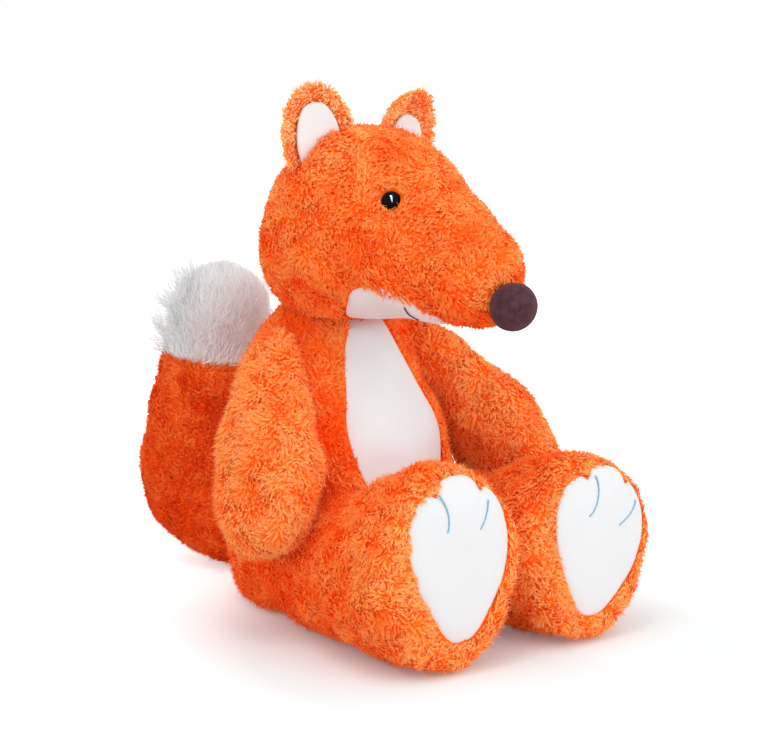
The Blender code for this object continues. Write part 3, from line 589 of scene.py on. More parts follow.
def skin(name, form, rows, columns, low=0.0, high=None, inset=SKIN_INSET):
    """The cloth of a part: its form from place low to high, moved in by the inset, with a fine grain."""
    surface, last = form
    high = last if high is None else high
    v = np.linspace(low, high, rows + 2)[1:-1]
    u = np.arange(columns) * 2 * math.pi / columns
    grid_v, grid_u = grid(v, u)
    points, _, normals = surface_frame(surface, grid_u, grid_v)
    grain = wobble(points, GRAIN_SIZE, 5) * GRAIN_HEIGHT
    points = points + normals * (grain - inset)[:, None]
    rings = points.reshape(rows, columns, 3)
    ends = [surface(u, np.full(columns, place)).mean(axis=0) for place in (low, high)]
    middles = [rings[0].mean(axis=0), rings[-1].mean(axis=0)]
    ends = [end + (middle - end) * 0.8 for end, middle in zip(ends, middles)]
    return lathe_mesh(name, rings, *ends)


def scatter(form, density, seed, keep, low=0.0, high=None):
    """Even random roots on a form: points, directions along it and normals.

    Cells of a grid get roots in proportion to their area, and inside a cell the roots follow the
    plastic-number sequence, (0.7549 i, 0.5698 i) modulo one.
    """
    surface, last = form
    high = last if high is None else high
    rows, columns = 120, 96
    v = np.linspace(low, high, rows + 1)
    u = np.linspace(0, 2 * math.pi, columns + 1)
    grid_v, grid_u = grid(v, u)
    points = surface(grid_u, grid_v).reshape(rows + 1, columns + 1, 3)
    down, right = points[1:, :-1] - points[:-1, :-1], points[:-1, 1:] - points[:-1, :-1]
    total = np.cumsum(np.linalg.norm(np.cross(down, right), axis=-1).ravel())
    count = int(density * total[-1])
    draw = np.random.default_rng(seed)
    cell = np.searchsorted(total, (np.arange(count) + draw.uniform(size=count)) / count * total[-1])
    cell = np.minimum(cell, rows * columns - 1)
    order = np.arange(count)
    root_v = low + (cell // columns + order * PLASTIC_STEPS[0] % 1) * (high - low) / rows
    root_u = (cell % columns + order * PLASTIC_STEPS[1] % 1) * 2 * math.pi / columns
    points, along, normals = surface_frame(surface, root_u, root_v)
    kept = keep(points)
    return points[kept], along[kept], normals[kept]


def pile_points(roots, style, seed):
    """The middle lines of the locks, their side directions and the normals of the cloth under them.

    At a share s of its length a lock stands rise (1 - (1 - s)^1.7) off its root, has drifted
    drift s^1.2 along the combed direction, and has curled sideways by curl sin(2.5 s). The comb
    swirls with a smooth random angle, and the tips lean together into clumps.
    """
    draw = np.random.default_rng(seed)
    points, along, normals = roots
    count = len(points)
    around = np.cross(normals, along)
    angle = np.radians(style["swirl_deg"]) * wobble(points, style["swirl_size"], 11)
    angle = angle + np.radians(style["stray_deg"]) * draw.normal(size=count)
    ahead = along * np.cos(angle)[:, None] + around * np.sin(angle)[:, None]
    aside = np.cross(normals, ahead)
    size = draw.uniform(0.72, 1.18, count)
    rise = style["rise"] * size * draw.uniform(0.8, 1.15, count)
    drift = style["drift"] * size
    hand = wobble(points, CURL_PATCH_SIZE, 23) + draw.normal(size=count) * 0.5
    curl = style["curl"] * np.where(hand > 0, 1, -1)
    curl = curl * draw.uniform(0.3, 1.3, count)
    reach, step = style["clump_size"], 0.3 * MM
    ahead_by = np.stack([wobble(points + move, reach, 31) for move in np.eye(3) * step], axis=1)
    pull = (ahead_by - wobble(points, reach, 31)[:, None]) / step * reach / (2 * math.pi)
    pull = pull - normals * np.einsum("ij,ij->i", pull, normals)[:, None]
    shares = np.array(style["steps"])[None, :, None]
    start = points - normals * style["inset"]
    path = (
        start[:, None]
        + normals[:, None] * rise[:, None, None] * (1 - (1 - shares) ** 1.7)
        + ahead[:, None] * drift[:, None, None] * shares**1.2
        + aside[:, None] * curl[:, None, None] * np.sin(2.5 * shares)
        + pull[:, None] * style["clump"] * shares**1.5
    )
    return path, aside, normals, size, draw.uniform(*style["shades"], count)


def pile(name, form, style, density, seed, keep, low=0.0, high=None, ground=None, bare=None):
    """A piece of fur: thousands of small curved locks, each three-sided and tapered to a point.

    A lock's ring at share s is three points at 90, 210 and 330 degrees about its middle line, its
    half-width times the listed share, flattened across the pile. The tone layer holds the share
    along the lock, its own random shade and a smooth patchy field plus the part's painted light and
    shade. Locks that would stand on a bare panel, or reach over it by more than the margins, are left out.
    """
    roots = scatter(form, density, seed, keep, low, high)
    path, aside, normals, size, chance = pile_points(roots, style, seed + 1)
    starts = roots[0]
    if bare is not None:
        over = bare(starts, ROOT_MARGIN) | bare(path[:, -1], TIP_MARGIN)
        over |= bare(path[:, 1], BEND_MARGIN)
        parts = (starts, path, aside, normals, size, chance)
        starts, path, aside, normals, size, chance = (part[~over] for part in parts)
    count, steps = path.shape[:2]
    angles = np.radians([90.0, 210.0, 330.0])
    half = style["half_width"] * size
    widths = np.array(style["widths"])
    flat = (
        normals[:, None] * np.sin(angles)[None, :, None] * style["flatness"]
        + aside[:, None] * np.cos(angles)[None, :, None]
    )
    rings = path[:, :-1, None] + flat[:, None] * (half[:, None] * widths)[:, :, None, None]
    points = np.concatenate([rings.reshape(count, -1, 3), path[:, -1:]], axis=1)
    if ground is not None:
        lowest = ground + GROUND_STEP * (1 + np.arange(points.shape[1]) % 3)
        points[:, :, 2] = np.maximum(points[:, :, 2], lowest)
    each = points.shape[1]
    corner, beside = np.arange(3), (np.arange(3) + 1) % 3
    one = np.stack([corner, beside, beside + 3, corner + 3], axis=1)
    quad = (3 * np.arange(steps - 2)[:, None, None] + one).reshape(-1, 4)
    top = 3 * (steps - 2)
    triangle = np.array([[top + c, top + (c + 1) % 3, each - 1] for c in range(3)] + [[0, 2, 1]])
    first = (np.arange(count) * each)[:, None, None]
    quads = (first + quad).reshape(-1, 4)
    triangles = (first + triangle).reshape(-1, 3)
    quads, triangles = facing_out(points.reshape(-1, 3), quads, triangles)
    share = np.append(np.repeat(np.array(style["steps"])[:-1], 3), 1.0)
    large, small = (wobble(starts, PATCH_SIZES[i], (41, 43)[i]) * PATCH_DEPTH for i in range(2))
    # The patchy field plus the part's painted light and shade
    patch = large + small + 0.5 + style["painted_shading"](starts)
    channels = (share, chance[:, None], patch[:, None], 1.0)
    tone = np.stack([np.broadcast_to(channel, (count, each)) for channel in channels], axis=-1)
    around = np.append(np.tile([0.0, 0.33, 0.67], steps - 1), 0.5)
    uv = np.stack([np.tile(around, count) + np.repeat(chance, each), np.tile(share, count)], axis=-1)
    layers = {"tone": tone.reshape(-1, 4), "uv": uv, "smooth": False}
    return put_mesh(name, points.reshape(-1, 3), quads, triangles, **layers)


def shell_from_grids(name, outer, inner):
    """A closed shell from two grids of the same size, with a strip round their common border."""
    rows, columns = outer.shape[:2]
    row, column = np.meshgrid(np.arange(rows - 1), np.arange(columns - 1), indexing="ij")
    near = (row * columns + column).ravel()
    face = np.stack([near, near + 1, near + columns + 1, near + columns], axis=1)
    index = np.arange(rows * columns).reshape(rows, columns)
    rim = np.concatenate([index[0, :-1], index[:-1, -1], index[-1, :0:-1], index[:0:-1, 0]])
    offset = rows * columns
    strip = np.stack([rim, rim + offset, np.roll(rim, -1) + offset, np.roll(rim, -1)], axis=1)
    quads = np.concatenate([face, face[:, ::-1] + offset, strip])
    points = np.vstack([outer.reshape(-1, 3), inner.reshape(-1, 3)])
    quads, triangles = facing_out(points, quads, np.zeros((0, 3), int))
    return put_mesh(name, points, quads, triangles)


def smooth_outline(shares, rows, closed=False):
    """A Catmull-Rom curve through the shares, at even steps of its parameter."""
    points = np.array(shares, float)
    if closed:
        ring = np.vstack([points[-1], points, points[:2]])
        spans = len(points)
    else:
        ring = np.vstack([2 * points[0] - points[1], points, 2 * points[-1] - points[-2]])
        spans = len(points) - 1
    place = np.linspace(0, spans, rows, endpoint=not closed)
    first = np.minimum(place.astype(int), spans - 1)
    f = (place - first)[:, None]
    a, b, c, d = (ring[first + i] for i in range(4))
    bend, twist = 2 * a - 5 * b + 4 * c - d, 3 * b - a - 3 * c + d
    return 0.5 * (2 * b + (c - a) * f + bend * f**2 + twist * f**3)


def panel(name, form, axis, ends, shares, half_width, lift, rows=70, columns=61):
    """A white panel's shell on the front of a form, in the window that its outline cuts out.

    shares are the outline's (width, length) pairs, and ends the coordinate along the axis where
    their length is 0 and 1. At place v the window's half-angle is arcsin(half-width / reach), with
    reach the form's own half-width there. The face stands a lift off the form and rolls down to
    the seam.
    """
    surface, last = form
    outline = smooth_outline(shares, 60)
    search = np.linspace(0.2, last - 0.2, 400)
    stations = surface(np.full(400, PANEL_MIDDLE), search)[:, axis]
    sides = surface(np.zeros(400), search) - surface(np.full(400, math.pi), search)
    order = np.argsort(stations)
    wanted = ends[0] + outline[:, 1] * (ends[1] - ends[0])
    places = np.interp(wanted, stations[order], search[order])
    reach = np.interp(places, search, np.linalg.norm(sides, axis=1) / 2)
    halves = np.arcsin(np.clip(outline[:, 0] * half_width / reach, 0.004, 0.995))
    if places[0] > places[-1]:
        places, halves = places[::-1], halves[::-1]
    fraction, known = np.linspace(0, 1, rows), np.linspace(0, 1, len(places))
    places, halves = np.interp(fraction, known, places), np.interp(fraction, known, halves)
    across = np.sin(np.linspace(-1, 1, columns) * math.pi / 2)
    u = (PANEL_MIDDLE + halves[:, None] * across[None]).ravel()
    points, _, normals = surface_frame(surface, u, np.repeat(places, columns))
    near_side = np.sqrt(np.clip(1 - across**2, 0, 1))
    near_end = np.minimum(1, np.minimum(fraction, 1 - fraction) * rows / 4)
    puff = (np.sqrt(near_side)[None] * near_end[:, None]).ravel()
    outer = points + normals * (lift * puff - PANEL_EDGE_DROP * (1 - puff))[:, None]
    inner = points - normals * PANEL_THICKNESS
    return shell_from_grids(name, outer.reshape(rows, columns, 3), inner.reshape(rows, columns, 3))


def foot_front(side, across, up):
    """Points on the rounded front of a foot, from places across and up its face.

    The front's depth is read off the foot's rings as a function of q, the place's distance from the
    middle in half-sizes of the foot.
    """
    surface, last = leg_form(side)
    places = np.linspace(last - 1.9, last, 200)
    rotation = turned_by((0, 0, side * LEG_SPLAY_DEG))
    origin = np.array((side * HIP[0], HIP[1], HIP[2]))
    rim = (surface(np.zeros(200), places) - origin) @ rotation
    q_rim = np.abs(rim[:, 0]) / FOOT_HALF_WIDTH
    q = np.hypot(across / FOOT_HALF_WIDTH, up / FOOT_HALF_HEIGHT[side] - 1)
    order = np.argsort(q_rim)
    depth = np.interp(q, q_rim[order], rim[order, 1])
    local = np.stack([across, depth, up], axis=-1)
    return local @ rotation.T + origin


def sole_middle(side):
    """The height of a sole's middle."""
    return FOOT_HALF_HEIGHT[side] + SOLE_RISE[side]


def sole_size(side):
    """Half the width and half the height of a sole."""
    return SOLE_HALF_WIDTH[side], SOLE_HEIGHT_SHARE * FOOT_HALF_HEIGHT[side]


def rolled(points, side):
    """Places across and up a sole, turned clockwise about its middle on the left foot, then shifted."""
    angle = math.radians(SOLE_LEFT_ROLL_DEG) if side > 0 else 0.0
    middle = np.array((0, sole_middle(side)))
    turn = np.array([[math.cos(angle), -math.sin(angle)], [math.sin(angle), math.cos(angle)]])
    return (points - middle) @ turn + middle + (SOLE_ACROSS[side], 0)


def sole_outline(side, count):
    """The sole's outline, a smooth closed curve with three toes, as (across, up) places."""
    right = [(across, up) for across, up in SOLE_OUTLINE_SHARES]
    left = [(-across, up) for across, up in reversed(right) if across > 0]
    outline = smooth_outline(right + left, count, closed=True)
    return rolled(outline * sole_size(side) + (0, sole_middle(side)), side)


def sole_panel(name, side):
    """A sole: a disc of rings from its middle to its outline, laid on the foot's front, with a back."""
    rows, columns = 30, 192
    outline = sole_outline(side, columns)
    middle = np.array((SOLE_ACROSS[side], sole_middle(side)))
    shares = np.sin(np.linspace(0.04, 1, rows) * math.pi / 2)
    places = middle + (outline - middle)[None] * shares[:, None, None]
    flat = foot_front(side, places[..., 0].ravel(), places[..., 1].ravel()).reshape(rows, columns, 3)
    angle = math.radians(side * LEG_SPLAY_DEG)
    forward = np.array((math.sin(angle), -math.cos(angle), 0))
    puff = np.sqrt(np.clip(1 - shares**6, 0, 1))
    lift = SOLE_LIFT * puff - PANEL_EDGE_DROP * (1 - puff)
    outer = flat + forward * lift[:, None, None]
    inner = flat - forward * PANEL_THICKNESS
    rings = np.concatenate([outer, inner[::-1]])
    return lathe_mesh(name, rings, outer[0].mean(axis=0), inner[0].mean(axis=0))


def inside_outline(across, up, outline):
    """Which places lie in a closed outline, by counting the edges that a ray to the right crosses."""
    after = np.roll(outline, -1, axis=0)
    crossed = (outline[None, :, 1] > up[:, None]) != (after[None, :, 1] > up[:, None])
    rise = after[:, 1] - outline[:, 1]
    slope = (after[:, 0] - outline[:, 0]) / np.where(rise == 0, 1e-9, rise)
    at = outline[None, :, 0] + (up[:, None] - outline[None, :, 1]) * slope[None]
    return (crossed & (at > across[:, None])).sum(axis=1) % 2 == 1


def bare_test(outline, place, turn, flat, behind, limit):
    """A test of which points lie over a panel: inside its outline, seen along the behind axis.

    flat holds the two axes of the outline's plane, in a frame with the given place and turn. The
    test takes a margin by which the outline is drawn in first.
    """
    rotation = turned_by(turn)
    middle = (outline.max(axis=0) + outline.min(axis=0)) / 2
    half = (outline.max(axis=0) - outline.min(axis=0)) / 2

    def test(points, margin):
        local = (points - np.array(place)) @ rotation
        near = local[:, behind] < limit
        ring = middle + (outline - middle) * (1 - margin / half)
        found = np.zeros(len(points), bool)
        found[near] = inside_outline(local[near][:, flat[0]], local[near][:, flat[1]], ring)
        return found

    return test


def half_outline(shares, half_width, foot, top):
    """A smooth closed outline from the right half's shares, which run from the foot to the top."""
    right = smooth_outline(shares, 40) * (half_width, top - foot) + (0, foot)
    return np.vstack([right, right[::-1] * (-1, 1)])


def new_material(name, roughness, sheen=0.0, sheen_tint=(1, 1, 1, 1), shine=0.2):
    """A Principled material, its tree and its shader."""
    made = bpy.data.materials.new(name)
    made.use_nodes = True
    tree = made.node_tree
    shader = tree.nodes["Principled BSDF"]
    shader.inputs["Roughness"].default_value = roughness
    shader.inputs["Sheen Weight"].default_value = sheen
    shader.inputs["Sheen Roughness"].default_value = 0.5
    shader.inputs["Sheen Tint"].default_value = sheen_tint
    shader.inputs["Specular IOR Level"].default_value = shine
    return made, tree, shader


def ramp(tree, stops):
    """A colour ramp with the given (place, colour) stops."""
    node = tree.nodes.new("ShaderNodeValToRGB")
    elements = node.color_ramp.elements
    while len(elements) < len(stops):
        elements.new(0.5)
    for element, (place, colour) in zip(elements, stops):
        element.position = place
        element.color = (*colour, 1)
    return node


def put_node(tree, kind, operation=None, **inputs):
    """A shader node. Its inputs, by name in lower case or as _number, are sockets or values."""
    node = tree.nodes.new("ShaderNode" + kind)
    if operation:
        node.operation = operation
    for key, value in inputs.items():
        place = node.inputs[int(key[1:]) if key[0] == "_" else key.replace("_", " ").title()]
        if isinstance(value, bpy.types.NodeSocket):
            tree.links.new(value, place)
        else:
            place.default_value = value
    return node


def coloured(tree, shader, field, stops):
    """Colours a shader's base by a ramp over a field."""
    colours = ramp(tree, stops)
    tree.links.new(field, colours.inputs["Fac"])
    tree.links.new(colours.outputs["Color"], shader.inputs["Base Color"])


def mixed(tree, kind, factor, first, second):
    """A colour mix; the factor and the colours are sockets or values."""
    node = tree.nodes.new("ShaderNodeMix")
    node.data_type = "RGBA"
    node.blend_type = kind
    for key, value in ((0, factor), (6, first), (7, second)):
        if isinstance(value, bpy.types.NodeSocket):
            tree.links.new(value, node.inputs[key])
        else:
            node.inputs[key].default_value = value if key == 0 else (*value, 1)
    return node.outputs[2]


def noise(tree, scale, detail=2.0):
    """A noise field on Object coordinates."""
    source = put_node(tree, "TexCoord").outputs["Object"]
    return put_node(tree, "TexNoise", scale=scale, detail=detail, vector=source).outputs["Fac"]


def bumped(tree, shader, height, strength, distance):
    """Lets a height field rough up a shader's normal."""
    node = put_node(tree, "Bump", strength=strength, distance=distance, height=height)
    tree.links.new(node.outputs["Normal"], shader.inputs["Normal"])


def pile_material(name, stops, light, dark, patch_and_light_colours):
    """Fur: a ramp from root to tip, lighter or darker by lock, and by a patch field that also carries the
    part's painted light and shade.
    """
    made, tree, shader = new_material(name, 0.85, shine=0.06)
    tone = put_node(tree, "Attribute")
    tone.attribute_name = "tone"
    parts = put_node(tree, "SeparateColor", color=tone.outputs["Color"])
    length = ramp(tree, stops)
    tree.links.new(parts.outputs["Red"], length.inputs["Fac"])
    by_lock = ramp(tree, ((0.0, dark), (0.5, (1, 1, 1)), (1.0, light)))
    tree.links.new(parts.outputs["Green"], by_lock.inputs["Fac"])
    colour = mixed(tree, "MULTIPLY", 1.0, length.outputs["Color"], by_lock.outputs["Color"])
    by_patch_and_light = ramp(tree, ((0.0, patch_and_light_colours[0]), (0.5, patch_and_light_colours[1]), (1.0, patch_and_light_colours[2])))
    tree.links.new(parts.outputs["Blue"], by_patch_and_light.inputs["Fac"])
    colour = mixed(tree, "MULTIPLY", 1.0, colour, by_patch_and_light.outputs["Color"])
    tree.links.new(colour, shader.inputs["Base Color"])
    return made


def cloth_material(name, low, high, scale, roughness=0.95):
    """The backing cloth seen between the locks: two colours in a fine noise, with a knitted bump."""
    made, tree, shader = new_material(name, roughness, 0.0, (*high, 1), shine=0.06)
    field = noise(tree, scale, 3.0)
    coloured(tree, shader, field, ((0.35, low), (0.7, high)))
    bumped(tree, shader, field, 0.7, 0.8 * MM)
    return made


def plush_material(name, colour, shade, nap):
    """Smooth short plush: a faintly brushed colour and a fine nap."""
    made, tree, shader = new_material(name, 0.8, 0.25, (1, 1, 1, 1))
    coloured(tree, shader, noise(tree, 38.0, 4.0), ((0.3, shade), (0.65, colour)))
    bumped(tree, shader, noise(tree, nap), 0.25, 0.25 * MM)
    return made


ORANGE_PILE = pile_material(
    "curly_orange_pile",
    ((0.0, (1.0, 0.235, 0.02)), (0.5, (1.0, 0.26, 0.035)), (1.0, (1.0, 0.37, 0.125))),
    (1.0, 1.12, 1.3),
    (1.0, 0.98, 0.95),
    ((1.0, 0.5, 0.25), (1.0, 0.95, 0.9), (1.0, 1.35, 1.7)),
)
PEACH_PILE = pile_material(
    "peach_ear_pile",
    ((0.0, (1.0, 0.48, 0.12)), (0.5, (1.0, 0.52, 0.17)), (1.0, (1.0, 0.68, 0.42))),
    (1.0, 1.08, 1.2),
    (1.0, 0.97, 0.92),
    ((1.0, 0.8, 0.6), (1.0, 1.0, 1.0), (1.0, 1.1, 1.2)),
)
# Painted shade: the tail's fur, its patch colours darker and redder, for the shade it lies in behind the
# body
TAIL_PAINTED_SHADE_PILE = pile_material(
    "painted_shade_orange_pile",
    ((0.0, (1.0, 0.235, 0.02)), (0.5, (1.0, 0.26, 0.035)), (1.0, (1.0, 0.36, 0.11))),
    (1.0, 1.12, 1.3),
    (1.0, 0.97, 0.9),
    ((0.86, 0.30, 0.15), (0.97, 0.72, 0.58), (1.0, 1.0, 1.1)),
)
WHITE_PILE = pile_material(
    "long_white_pile",
    ((0.0, (0.92, 0.95, 0.96)), (0.5, (0.94, 0.97, 0.97)), (1.0, (0.95, 0.97, 0.98))),
    (1.0, 1.0, 1.0),
    (0.97, 0.96, 0.96),
    ((0.97, 0.96, 0.96), (0.99, 0.98, 0.98), (1.0, 1.0, 1.0)),
)
ORANGE_CLOTH = cloth_material("orange_backing", (0.98, 0.15, 0.006), (1.0, 0.19, 0.012), 420.0)
WHITE_CLOTH = cloth_material("white_backing", (0.90, 0.89, 0.89), (0.94, 0.93, 0.93), 420.0)
# One white plush in two copies: the soles' copy darker, where they face the lamps, and the copy for the
# bib, chin and ear linings painted lighter and bluer, against the shade it lies in and the orange light
# that the fur bounces onto it
SOLE_PLUSH = plush_material("smooth_white_plush", (0.71, 0.72, 0.73), (0.69, 0.70, 0.71), 900.0)
PANEL_PLUSH_PAINTED_LIGHTER = plush_material("white_plush_painted_lighter", (0.77, 0.835, 0.86), (0.75, 0.815, 0.84), 900.0)

BODY = body_form()
HEAD = head_form()
TAIL = tail_form()


def everything(points):
    """Keeps every root."""
    return np.ones(len(points), bool)


def one_side(side):
    """A test that keeps the roots on one side of the middle plane."""
    return lambda points: points[:, 0] * side >= 0


def fur(name, form, body, material, keep, seed, style, **spans):
    """The fur of a part: thick locks, and among them thin straight wisps, on one body."""
    locks = pile(f"{name}_locks", form, style, LOCK_DENSITY, seed, keep, **spans)
    dressed(locks, body, "orange_fur", material)
    thin = {**style, **WISP, "rise": style["rise"] * WISP_RISE_SHARE}
    wisps = pile(f"{name}_wisps", form, thin, WISP_DENSITY, seed + 50, keep, **spans)
    dressed(wisps, body, "orange_fur", material)


def make_body():
    """The body's skin, its fur in two halves, and the bib."""
    stuffed(skin("body_cloth", BODY, 90, 90), BODY_FILL, "torso", "orange_fur", ORANGE_CLOTH, "body_cover")
    ends = (BIB_BOTTOM, BIB_TOP)
    bib = panel("bib", BODY, 2, ends, BIB_OUTLINE_SHARES, BIB_HALF_WIDTH, PANEL_LIFT)
    stuffed(bib, BODY_FILL, "torso", "white_plush", PANEL_PLUSH_PAINTED_LIGHTER, "bib_panel")
    outline = half_outline(BIB_OUTLINE_SHARES, BIB_HALF_WIDTH, BIB_BOTTOM, BIB_TOP)
    bare = bare_test(outline, (0, 0, 0), (0, 0, 0), (0, 2), 1, 0.0)
    for side_name, side in SIDES:

        def keep(points):
            return (points[:, 0] * side >= 0) & (points[:, 2] < BODY_HEIGHT + 4 * MM)

        # Painted shade: the body's fur a little deeper all over
        deep = dict(PILE, painted_shading=lambda points: BODY_PAINTED_SHADE)
        on = {"ground": 0.0, "bare": bare}
        fur(f"body_{side_name}", BODY, "torso", ORANGE_PILE, keep, 100 + side, deep, **on)


def eye_places():
    """The points and normals of the head's surface under the two eyes' middles."""
    surface, last = HEAD
    v, u = grid(np.linspace(3.0, last - 1, 300), np.linspace(0, 2 * math.pi, 361))
    points, _, normals = surface_frame(surface, u, v)
    found = {}
    for side_name, _ in SIDES:
        low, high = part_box(f"eye_{side_name}")
        middle = (np.array(low) + np.array(high)) / 2
        nearest = np.argmin(np.linalg.norm(points - middle, axis=1))
        found[side_name] = (points[nearest], normals[nearest])
    return found


def head_painted_toplight(points):
    """The fur's tone, a painted light: paler toward the crown and deeper low on the head, as light falls
    from above.
    """
    return (points[:, 2] - NECK[2] - HEAD_MIDDLE) * 3.6 - 0.05


def make_head():
    """The head's skin, its fur in two halves, and the chin panel."""
    stuffed(skin("head_cloth", HEAD, 100, 90), HEAD_FILL, "head", "orange_fur", ORANGE_CLOTH, "head_cover")
    ends = (NECK[1] - CHIN_START, NECK[1] - CHIN_END)
    chin = panel("chin", HEAD, 1, ends, CHIN_OUTLINE_SHARES, CHIN_HALF_WIDTH, PANEL_LIFT)
    stuffed(chin, HEAD_FILL, "head", "white_plush", PANEL_PLUSH_PAINTED_LIGHTER, "chin_panel")
    eyes = eye_places()
    outline = half_outline(CHIN_OUTLINE_SHARES, CHIN_HALF_WIDTH, -CHIN_START, -CHIN_END)
    over_chin = bare_test(outline, NECK, (0, 0, 0), (0, 1), 2, HEAD_MIDDLE)

    def bare(points, margin):
        over_eye = np.zeros(len(points), bool)
        for place, _ in eyes.values():
            over_eye |= np.linalg.norm(points - place, axis=1) < EYE_RADIUS + 0.3 * (MM - margin)
        return over_chin(points, margin) | over_eye

    for side_name, side in SIDES:
        keep = one_side(side)
        on = {"ground": NECK[2] - 2 * MM, "bare": bare}
        # Painted light: the head's fur paler toward the crown
        crown = dict(PILE, painted_shading=head_painted_toplight)
        fur(f"head_{side_name}", HEAD, "head", ORANGE_PILE, keep, 200 + side, crown, **on)


def make_arms():
    """The arms' skins and fur."""
    for side_name, side in SIDES:
        form = arm_form(side_name, side)
        # Painted light: the arms' fur paler where they face the lamps
        pale = dict(PILE, painted_shading=lambda points: ARM_PAINTED_LIGHT)
        body = f"arm_{side_name}"
        cloth = skin(f"arm_cloth_{side_name}", form, 60, 60)
        stuffed(cloth, ARM_FILL, body, "orange_fur", ORANGE_CLOTH, f"arm_{side_name}_cover")
        fur(f"arm_{side_name}", form, body, ORANGE_PILE, everything, 300 + side, pale)


def leg_painted_light_and_shade(points):
    """The fur's tone, painted light and shade: deep at the hip, where the leg meets the body, to a painted
    peach rim light at the sole's rim.
    """
    along = (HIP[1] - points[:, 1]) / LEG_LENGTH
    return along * 0.62 - 0.5 + np.clip(along * 6 - 5.2, 0, 1) * 0.7


def make_legs():
    """The legs' skins, fur and soles."""
    for side_name, side in SIDES:
        form = leg_form(side)
        body = f"leg_{side_name}"
        cloth = skin(f"leg_cloth_{side_name}", form, 80, 70)
        stuffed(cloth, LEG_FILL, body, "orange_fur", ORANGE_CLOTH, f"leg_{side_name}_cover")
        middle = HIP[1] - LEG_LENGTH * 0.52
        place, turn = (side * HIP[0], HIP[1], HIP[2]), (0, 0, side * LEG_SPLAY_DEG)
        bare = bare_test(sole_outline(side, 120), place, turn, (0, 2), 1, -LEG_LENGTH * 0.9)
        for part, sign in (("thigh", 1), ("foot", -1)):

            def keep(points):
                return (points[:, 1] - middle) * sign >= 0

            seed = 400 + side * 2 + sign
            # Painted shade at the hip and a painted peach rim light at the sole's rim
            paler = dict(PILE, painted_shading=leg_painted_light_and_shade)
            on = {"ground": 0.0, "bare": bare}
            fur(f"{part}_{side_name}", form, body, ORANGE_PILE, keep, seed, paler, **on)
        sole = sole_panel(f"sole_plush_{side_name}", side)
        stuffed(sole, LEG_FILL, body, "white_plush", SOLE_PLUSH, f"sole_{side_name}")


def tail_painted_shade(points):
    """The fur's tone, a painted shade, deepest at the floor."""
    return points[:, 2] * 3.2 - 0.5


def make_tail():
    """The tail's orange brush and its white end, each with its skin and its pile."""
    surface, last = TAIL
    split = TAIL_ROOT[2] + TAIL_SPLIT_SHARE * TAIL_RISE
    places = np.linspace(2, last - 0.5, 200)
    left, right = (surface(np.full(200, u), places)[:, 2] for u in (0.0, math.pi))
    seam = float(np.interp(split, (left + right) / 2, places))
    cloth = skin("tail_cloth", TAIL, 70, 64, 0.0, seam)
    stuffed(cloth, TAIL_FILL, "tail", "orange_fur", ORANGE_CLOTH, "tail_cover")
    for side_name, side in SIDES:
        keep = one_side(side)
        spans = {"low": 0.0, "high": seam, "ground": 0.0}
        # Painted shade on the tail's fur, deepest at the floor
        deep = dict(PILE, painted_shading=tail_painted_shade)
        fur(f"tail_{side_name}", TAIL, "tail", TAIL_PAINTED_SHADE_PILE, keep, 500 + side, deep, **spans)
    tip = skin("tail_tip_cloth", TAIL, 40, 64, seam, last)
    stuffed(tip, TAIL_FILL, "tail", "white_long_fur", WHITE_CLOTH, "tail_tip")
    middle = surface(np.arange(8) * math.pi / 4, np.full(8, (seam + last) / 2)).mean(axis=0)

    def blown(points):
        return (points - middle) @ np.array(BLOWN_SIDE) > BLOWN_FROM

    hair = pile("tail_tip_hair", TAIL, TIP_PILE, TIP_DENSITY, 520, everything, seam, last)
    dressed(hair, "tail", "white_long_fur", WHITE_PILE)
    wisps = pile("tail_tip_wisps", TAIL, BLOWN_PILE, BLOWN_DENSITY, 530, blown, seam, last)
    dressed(wisps, "tail", "white_long_fur", WHITE_PILE)


def make_ears():
    """The ears' skins, short fur and white linings."""
    lean, out, face = EAR_TURN_DEG
    for side_name, side in SIDES:
        form = ear_form(side_name, side)
        cloth = skin(f"ear_cloth_{side_name}", form, 40, 50, inset=1.5 * MM)
        stuffed(cloth, EAR_FILL, "head", "orange_fur", ORANGE_CLOTH, f"ear_{side_name}")
        top = LINING_TOP[side_name]
        outline = half_outline(LINING_OUTLINE_SHARES, LINING_HALF_WIDTH, LINING_FOOT, top)
        place = np.array(NECK) + (side * EAR_OUT, HEAD_BACK - EAR_STATION, EAR_FOOT)
        turned = bare_test(outline, place, (lean, side * out, side * face), (0, 2), 1, 10 * MM)
        back = form[0](np.full(1, math.pi / 2), np.full(1, 3.0))[0, 1]

        def bare(points, margin):
            return turned(points, margin) & (points[:, 1] < back - 5.5 * MM)

        fur(f"ear_{side_name}", form, "head", PEACH_PILE, everything, 600 + side, EAR_PILE, bare=bare)
        foot = NECK[2] + EAR_FOOT
        shape = ((foot + LINING_FOOT, foot + top), LINING_OUTLINE_SHARES, LINING_HALF_WIDTH)
        lining = panel(f"ear_lining_{side_name}", form, 2, *shape, LINING_LIFT, 40, 31)
        stuffed(lining, EAR_FILL, "head", "white_plush", PANEL_PLUSH_PAINTED_LIGHTER, f"ear_{side_name}_lining")


def ball_rings(rows, columns, power=1.0):
    """Rings of a ball: radius sin(p)^power at height cos(p), for p from 0 to pi without the poles."""
    polar = np.linspace(0, math.pi, rows + 2)[1:-1]
    angle = np.arange(columns) * 2 * math.pi / columns
    radius = (np.sin(polar) ** power)[:, None]
    height = np.broadcast_to(np.cos(polar)[:, None], (rows, columns))
    return np.stack([radius * np.cos(angle), radius * np.sin(angle), height], axis=-1)


